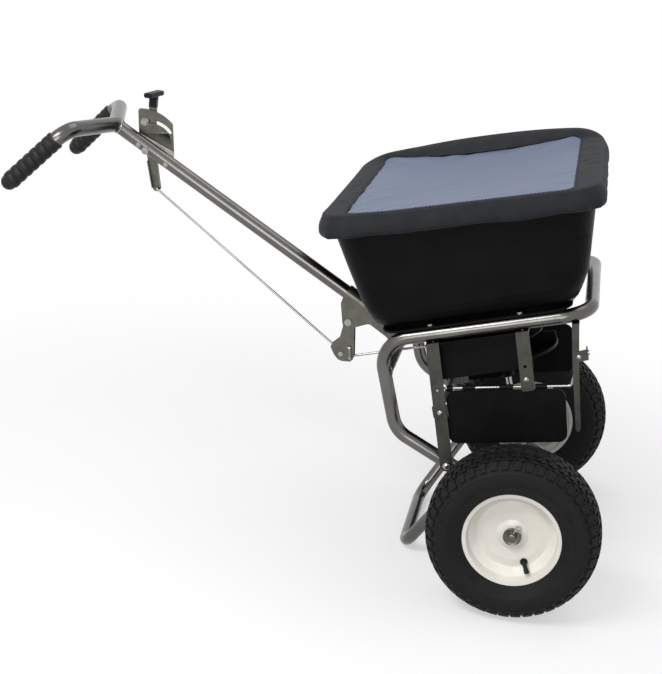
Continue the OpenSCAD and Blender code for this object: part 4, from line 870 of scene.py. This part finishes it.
@dataclass
class WeldBeads:
    """The rippled beads where tubes are welded to each other."""

    bead: float = 1.9
    ripple: float = 5.2

    def seam(self, start: Vector, way: Vector, radius: float, on: Vector, on_way: Vector, on_radius: float) -> list[Vector]:
        """The curve where one round tube ends on another.

        Args:
            start: A point on the ending tube's middle line, in mm from the axle.
            way: Its direction, towards the other tube.
            radius: Its radius.
            on: A point on the other tube's middle line.
            on_way: The other tube's direction.
            on_radius: The other tube's radius.

        Returns:
            Points in mm from the axle.
        """
        way, on_way = way.normalized(), on_way.normalized()
        x = way.orthogonal().normalized()
        y = way.cross(x)
        curve = []
        for k in range(64):
            a = math.tau * k / 64
            p = start + (x * math.cos(a) + y * math.sin(a)) * radius
            gap = p - on
            u = gap - on_way * gap.dot(on_way)
            v = way - on_way * way.dot(on_way)
            aa, bb, cc = v.dot(v), 2 * u.dot(v), u.dot(u) - on_radius ** 2
            root = bb * bb - 4 * aa * cc
            if root < 0:
                continue
            curve.append(p + way * ((-bb - math.sqrt(root)) / (2 * aa)))
        return curve

    def lay(self, pile: MeshPile, curve: list[Vector]) -> None:
        """Lays one bead along a closed curve, with its ripples."""
        path, radii = [], []
        travelled = 0.0
        for k, point in enumerate(curve):
            following = curve[(k + 1) % len(curve)]
            parts = max(1, int((following - point).length / 1.2))
            for j in range(parts):
                path.append(from_axle(*point.lerp(following, j / parts)))
                travelled += (following - point).length / parts
                radii.append(self.bead * (0.82 + 0.18 * abs(math.sin(math.pi * travelled / self.ripple))))
        pile.tube(path, radii, 8, loop=True)

    def build(self) -> None:
        """Lays all beads on the chassis."""
        pile = MeshPile()

        def standing(point: Vector) -> Vector:
            return point / MM - AXLE

        bar = standing(from_handle(0, 0, 0))
        down = standing(from_handle(100, 0, 0)) - bar
        self.lay(pile, self.seam(bar + down, -down, 14.0, bar, Vector((0, 1, 0)), 15.5))
        for side in Side:
            y = side.value
            cross = standing(from_chassis(-207, 0, 306))
            up = standing(from_chassis(-209, 204 * y, 250))
            rail = standing(from_chassis(-209, 204 * y, 330)) - up
            self.lay(pile, self.seam(cross, Vector((0, y, 0)), 12.7, up, rail, 13.5))
            foot = Vector((-209.0, 0.0, 186.0)).normalized()
            low = foot * 37.5
            run_a = standing(from_chassis(low.x, 204 * y, low.z))
            run_b = standing(from_chassis(foot.x * 220, 204 * y, foot.z * 220))
            leg_top = standing(from_chassis(foot.x * 111, 204 * y, foot.z * 111))
            leg_low = Vector((-220.0, 130.0 * y, -152.5))
            self.lay(pile, self.seam(leg_low, leg_top - leg_low, 12.5, run_a, run_b - run_a, 13.5))
        pile.make("weld_beads", FASTENER, Body.CHASSIS, 60.0)


@dataclass
class BoltDomes:
    """Domed heads that stand on the CAD bolts' flat ones."""

    def dome(self, pile: MeshPile, at: Vector, way: Vector, radius: float) -> None:
        """Adds one dome.

        Args:
            pile: Where it goes.
            at: The middle of the flat head, in metres.
            way: Outward direction.
            radius: Radius of the head in mm.
        """
        profile = [(radius, -0.6), (radius, 0.0), (radius * 0.96, radius * 0.12), (radius * 0.84, radius * 0.26),
                   (radius * 0.62, radius * 0.38), (radius * 0.34, radius * 0.45), (0.0, radius * 0.47)]
        pile.revolve(profile, at, way, 24)

    def build(self) -> None:
        """Adds the domes of the visible frame bolts."""
        foot = Vector((-209.0, 0.0, 186.0)).normalized()
        strap_top, strap_foot = Vector((-105.0, 0, 355.5)), foot * 160.7
        stay_x = strap_foot.x + (strap_top.x - strap_foot.x) * (217 - strap_foot.z) / (strap_top.z - strap_foot.z)
        pile = MeshPile()
        for side in Side:
            y = side.value
            way = Vector((0, y, 0))
            outer = 217.5
            spots = [
                (foot.x * 160.7, foot.z * 160.7, outer + 3 + 4.4, 7.2),
                (foot.x * 52, foot.z * 52, outer + 4.4, 7.2),
                (foot.x * 84, foot.z * 84, outer + 4.4, 7.2),
                (stay_x, 217.0, outer + 3 + 3.3, 5.4),
                (60.0, 262.0, outer + 3 + 3.3, 5.4),
            ]
            if side is Side.RIGHT:
                spots.append((163.0, 292.0, 212.5 + 6.5, 4.5))
            for x, z, reach, radius in spots:
                self.dome(pile, from_chassis(x, reach * y, z), way, radius)
        pile.make("bolt_domes", FASTENER, Body.CHASSIS, 40.0)


@dataclass
class HubCaps:
    """A pressed ring and a domed nut over each hub, which hide the washer's flat face."""

    face_y: float = 344.9
    ring_r: float = 17.0

    def build(self) -> None:
        """Adds the cap of each wheel."""
        dish = [(8.6, 0.2), (10.2, 0.9), (12.6, 0.7), (14.6, 1.6), (16.2, 2.4), (self.ring_r, 1.9), (self.ring_r + 0.2, 0.6),
                (16.4, 0.0), (8.6, 0.0)]
        dome = [(7.95, 6.6), (7.6, 7.3), (6.4, 7.9), (4.2, 8.4), (2.0, 8.6), (0.0, 8.65)]
        for side, body in ((Side.RIGHT, Body.DRIVE_AXLE), (Side.LEFT, Body.DRIVE_AXLE)):
            pile = MeshPile()
            way = Vector((0, side.value, 0))
            pile.revolve(dish, from_axle(0, self.face_y * side.value, 0), way, 48)
            pile.revolve(dome, from_axle(0, self.face_y * side.value, 0), way, 32)
            pile.make(f"{side.name.lower()}_hub_cap", STAINLESS_PLATE, body, 40.0)


@dataclass
class Studio:
    """Camera, lamps, floor and world."""

    focal_px: float = 1473.7
    azimuth: float = 0.1613
    elevation: float = 0.3231
    roll: float = -0.0785
    offset: tuple[float, float, float] = (400.7, 268.9, 3066.2)
    principal: tuple[float, float] = (331.0, 337.0)

    def camera(self) -> None:
        """Places the camera that was fitted to the photograph."""
        ca, sa = math.cos(self.azimuth), math.sin(self.azimuth)
        ce, se = math.cos(self.elevation), math.sin(self.elevation)
        ahead = Vector((-sa * ce, ca * ce, -se))
        right = Vector((ca, sa, 0.0))
        down = ahead.cross(right)
        c, s = math.cos(self.roll), math.sin(self.roll)
        right, down = right * c + down * s, right * -s + down * c
        place = -(right * self.offset[0] + down * self.offset[1] + ahead * self.offset[2])
        data = bpy.data.cameras.new("camera")
        data.sensor_fit = "VERTICAL"
        data.sensor_height = 36.0
        data.sensor_width = 36.0
        data.lens = self.focal_px * 36.0 / IMAGE_HEIGHT
        data.clip_start, data.clip_end = 0.05, 60.0
        cam = bpy.data.objects.new("camera", data)
        turn = Matrix((right, -down, -ahead)).transposed()
        cam.matrix_world = Matrix.Translation((AXLE + place) * MM) @ turn.to_4x4()
        bpy.context.scene.collection.objects.link(cam)
        bpy.context.scene.camera = cam

    def lamp(self, name: str, place: tuple[float, float, float], aim: tuple[float, float, float], size: tuple[float, float], power: float) -> None:
        """Adds one soft rectangular lamp.

        Args:
            name: The lamp's name.
            place: Where it hangs, in metres.
            aim: The point it shines at.
            size: Width and height in metres.
            power: Watts.
        """
        data = bpy.data.lights.new(name, "AREA")
        data.shape = "RECTANGLE"
        data.size, data.size_y = size
        data.energy = power
        lamp = bpy.data.objects.new(name, data)
        lamp.location = place
        lamp.rotation_euler = (Vector(aim) - Vector(place)).to_track_quat("-Z", "Y").to_euler()
        bpy.context.scene.collection.objects.link(lamp)

    def seen(self, tree: bpy.types.NodeTree) -> bpy.types.NodeSocket:
        """Gives 1 for rays that show the background: from the camera, off metal and through film."""
        path = add_node(tree, "ShaderNodeLightPath")
        direct = add_node(tree, "ShaderNodeMath", {"operation": "MAXIMUM"},
                          {0: path.outputs["Is Camera Ray"], 1: path.outputs["Is Transmission Ray"]}).outputs[0]
        return add_node(tree, "ShaderNodeMath", {"operation": "MAXIMUM"},
                        {0: direct, 1: path.outputs["Is Glossy Ray"]}).outputs[0]

    def floor(self) -> None:
        """Builds the pale floor: it keeps the shadow near the wheels and runs out to plain white."""
        mesh = bpy.data.meshes.new("floor")
        reach = 14.0
        mesh.from_pydata([(-reach, -reach, 0), (reach, -reach, 0), (reach, reach, 0), (-reach, reach, 0)], [], [(0, 1, 2, 3)])
        floor = bpy.data.objects.new("floor", mesh)
        bpy.context.scene.collection.objects.link(floor)
        made = bpy.data.materials.new("paper_sweep_white")
        made.cycles.emission_sampling = "NONE"
        made.use_nodes = True
        tree = made.node_tree
        tree.nodes.clear()
        place = add_node(tree, "ShaderNodeTexCoord").outputs["Object"]
        away = add_node(tree, "ShaderNodeVectorMath", {"operation": "LENGTH"}, {0: place}).outputs["Value"]
        share = add_node(
            tree, "ShaderNodeMapRange",
            {"interpolation_type": "SMOOTHSTEP", "From Min": 0.35, "From Max": 1.7, "To Min": 0.45, "To Max": 1.0},
            {"Value": away}).outputs["Result"]
        dull = add_node(tree, "ShaderNodeBsdfDiffuse", {"Color": linear("#9A9A9A")}).outputs[0]
        pale = add_node(tree, "ShaderNodeBsdfDiffuse", {"Color": linear("#F4F4F4")}).outputs[0]
        glow = add_node(tree, "ShaderNodeEmission", {"Color": (1.0, 1.0, 1.0, 1.0), "Strength": 1.0}).outputs[0]
        paper = add_node(tree, "ShaderNodeMixShader", {}, {0: share, 1: pale, 2: glow}).outputs[0]
        mixed = add_node(tree, "ShaderNodeMixShader", {}, {0: self.seen(tree), 1: dull, 2: paper}).outputs[0]
        add_node(tree, "ShaderNodeOutputMaterial", {}, {"Surface": mixed})
        mesh.materials.append(made)

    def world(self) -> None:
        """Lights from all round, dimmer near the horizon, with a white backdrop."""
        world = bpy.data.worlds.new("studio")
        bpy.context.scene.world = world
        world.use_nodes = True
        tree = world.node_tree
        tree.nodes.clear()
        way = add_node(tree, "ShaderNodeTexCoord").outputs["Generated"]
        height = add_node(tree, "ShaderNodeSeparateXYZ", {}, {0: way}).outputs["Z"]
        ramp = add_node(tree, "ShaderNodeValToRGB", {}, {"Fac": height})
        ramp.color_ramp.elements[0].position = 0.0
        ramp.color_ramp.elements[0].color = (0.16, 0.16, 0.17, 1.0)
        ramp.color_ramp.elements[1].position = 0.75
        ramp.color_ramp.elements[1].color = (0.85, 0.86, 0.88, 1.0)
        room = add_node(tree, "ShaderNodeBackground", {"Strength": 0.75}, {"Color": ramp.outputs["Color"]}).outputs[0]
        white = add_node(tree, "ShaderNodeBackground", {"Color": (1.0, 1.0, 1.0, 1.0), "Strength": 1.0}).outputs[0]
        mixed = add_node(tree, "ShaderNodeMixShader", {}, {0: self.seen(tree), 1: room, 2: white}).outputs[0]
        add_node(tree, "ShaderNodeOutputWorld", {}, {"Surface": mixed})

    def build(self) -> None:
        """Builds the whole studio."""
        self.camera()
        self.floor()
        self.world()
        self.lamp("key", (-0.9, -1.9, 2.6), (0.2, 0.0, 0.4), (1.4, 0.8), 48.0)
        self.lamp("top", (0.5, 0.6, 3.0), (0.2, 0.0, 0.5), (2.4, 1.2), 14.0)
        self.lamp("fill", (0.2, -3.2, 1.1), (0.3, 0.0, 0.35), (1.8, 1.4), 34.0)
        bpy.context.scene.view_settings.view_transform = "Standard"


def main() -> None:
    """Builds every piece in order."""
    logging.basicConfig(level=logging.INFO, format="%(message)s")
    Studio().build()
    dress_cad()
    RainCover().build()
    for side in Side:
        TurfTyre().build(side)
        RibbedGrip().build(side)
    WeldBeads().build()
    BoltDomes().build()
    HubCaps().build()


if __name__ == "__main__":
    main()
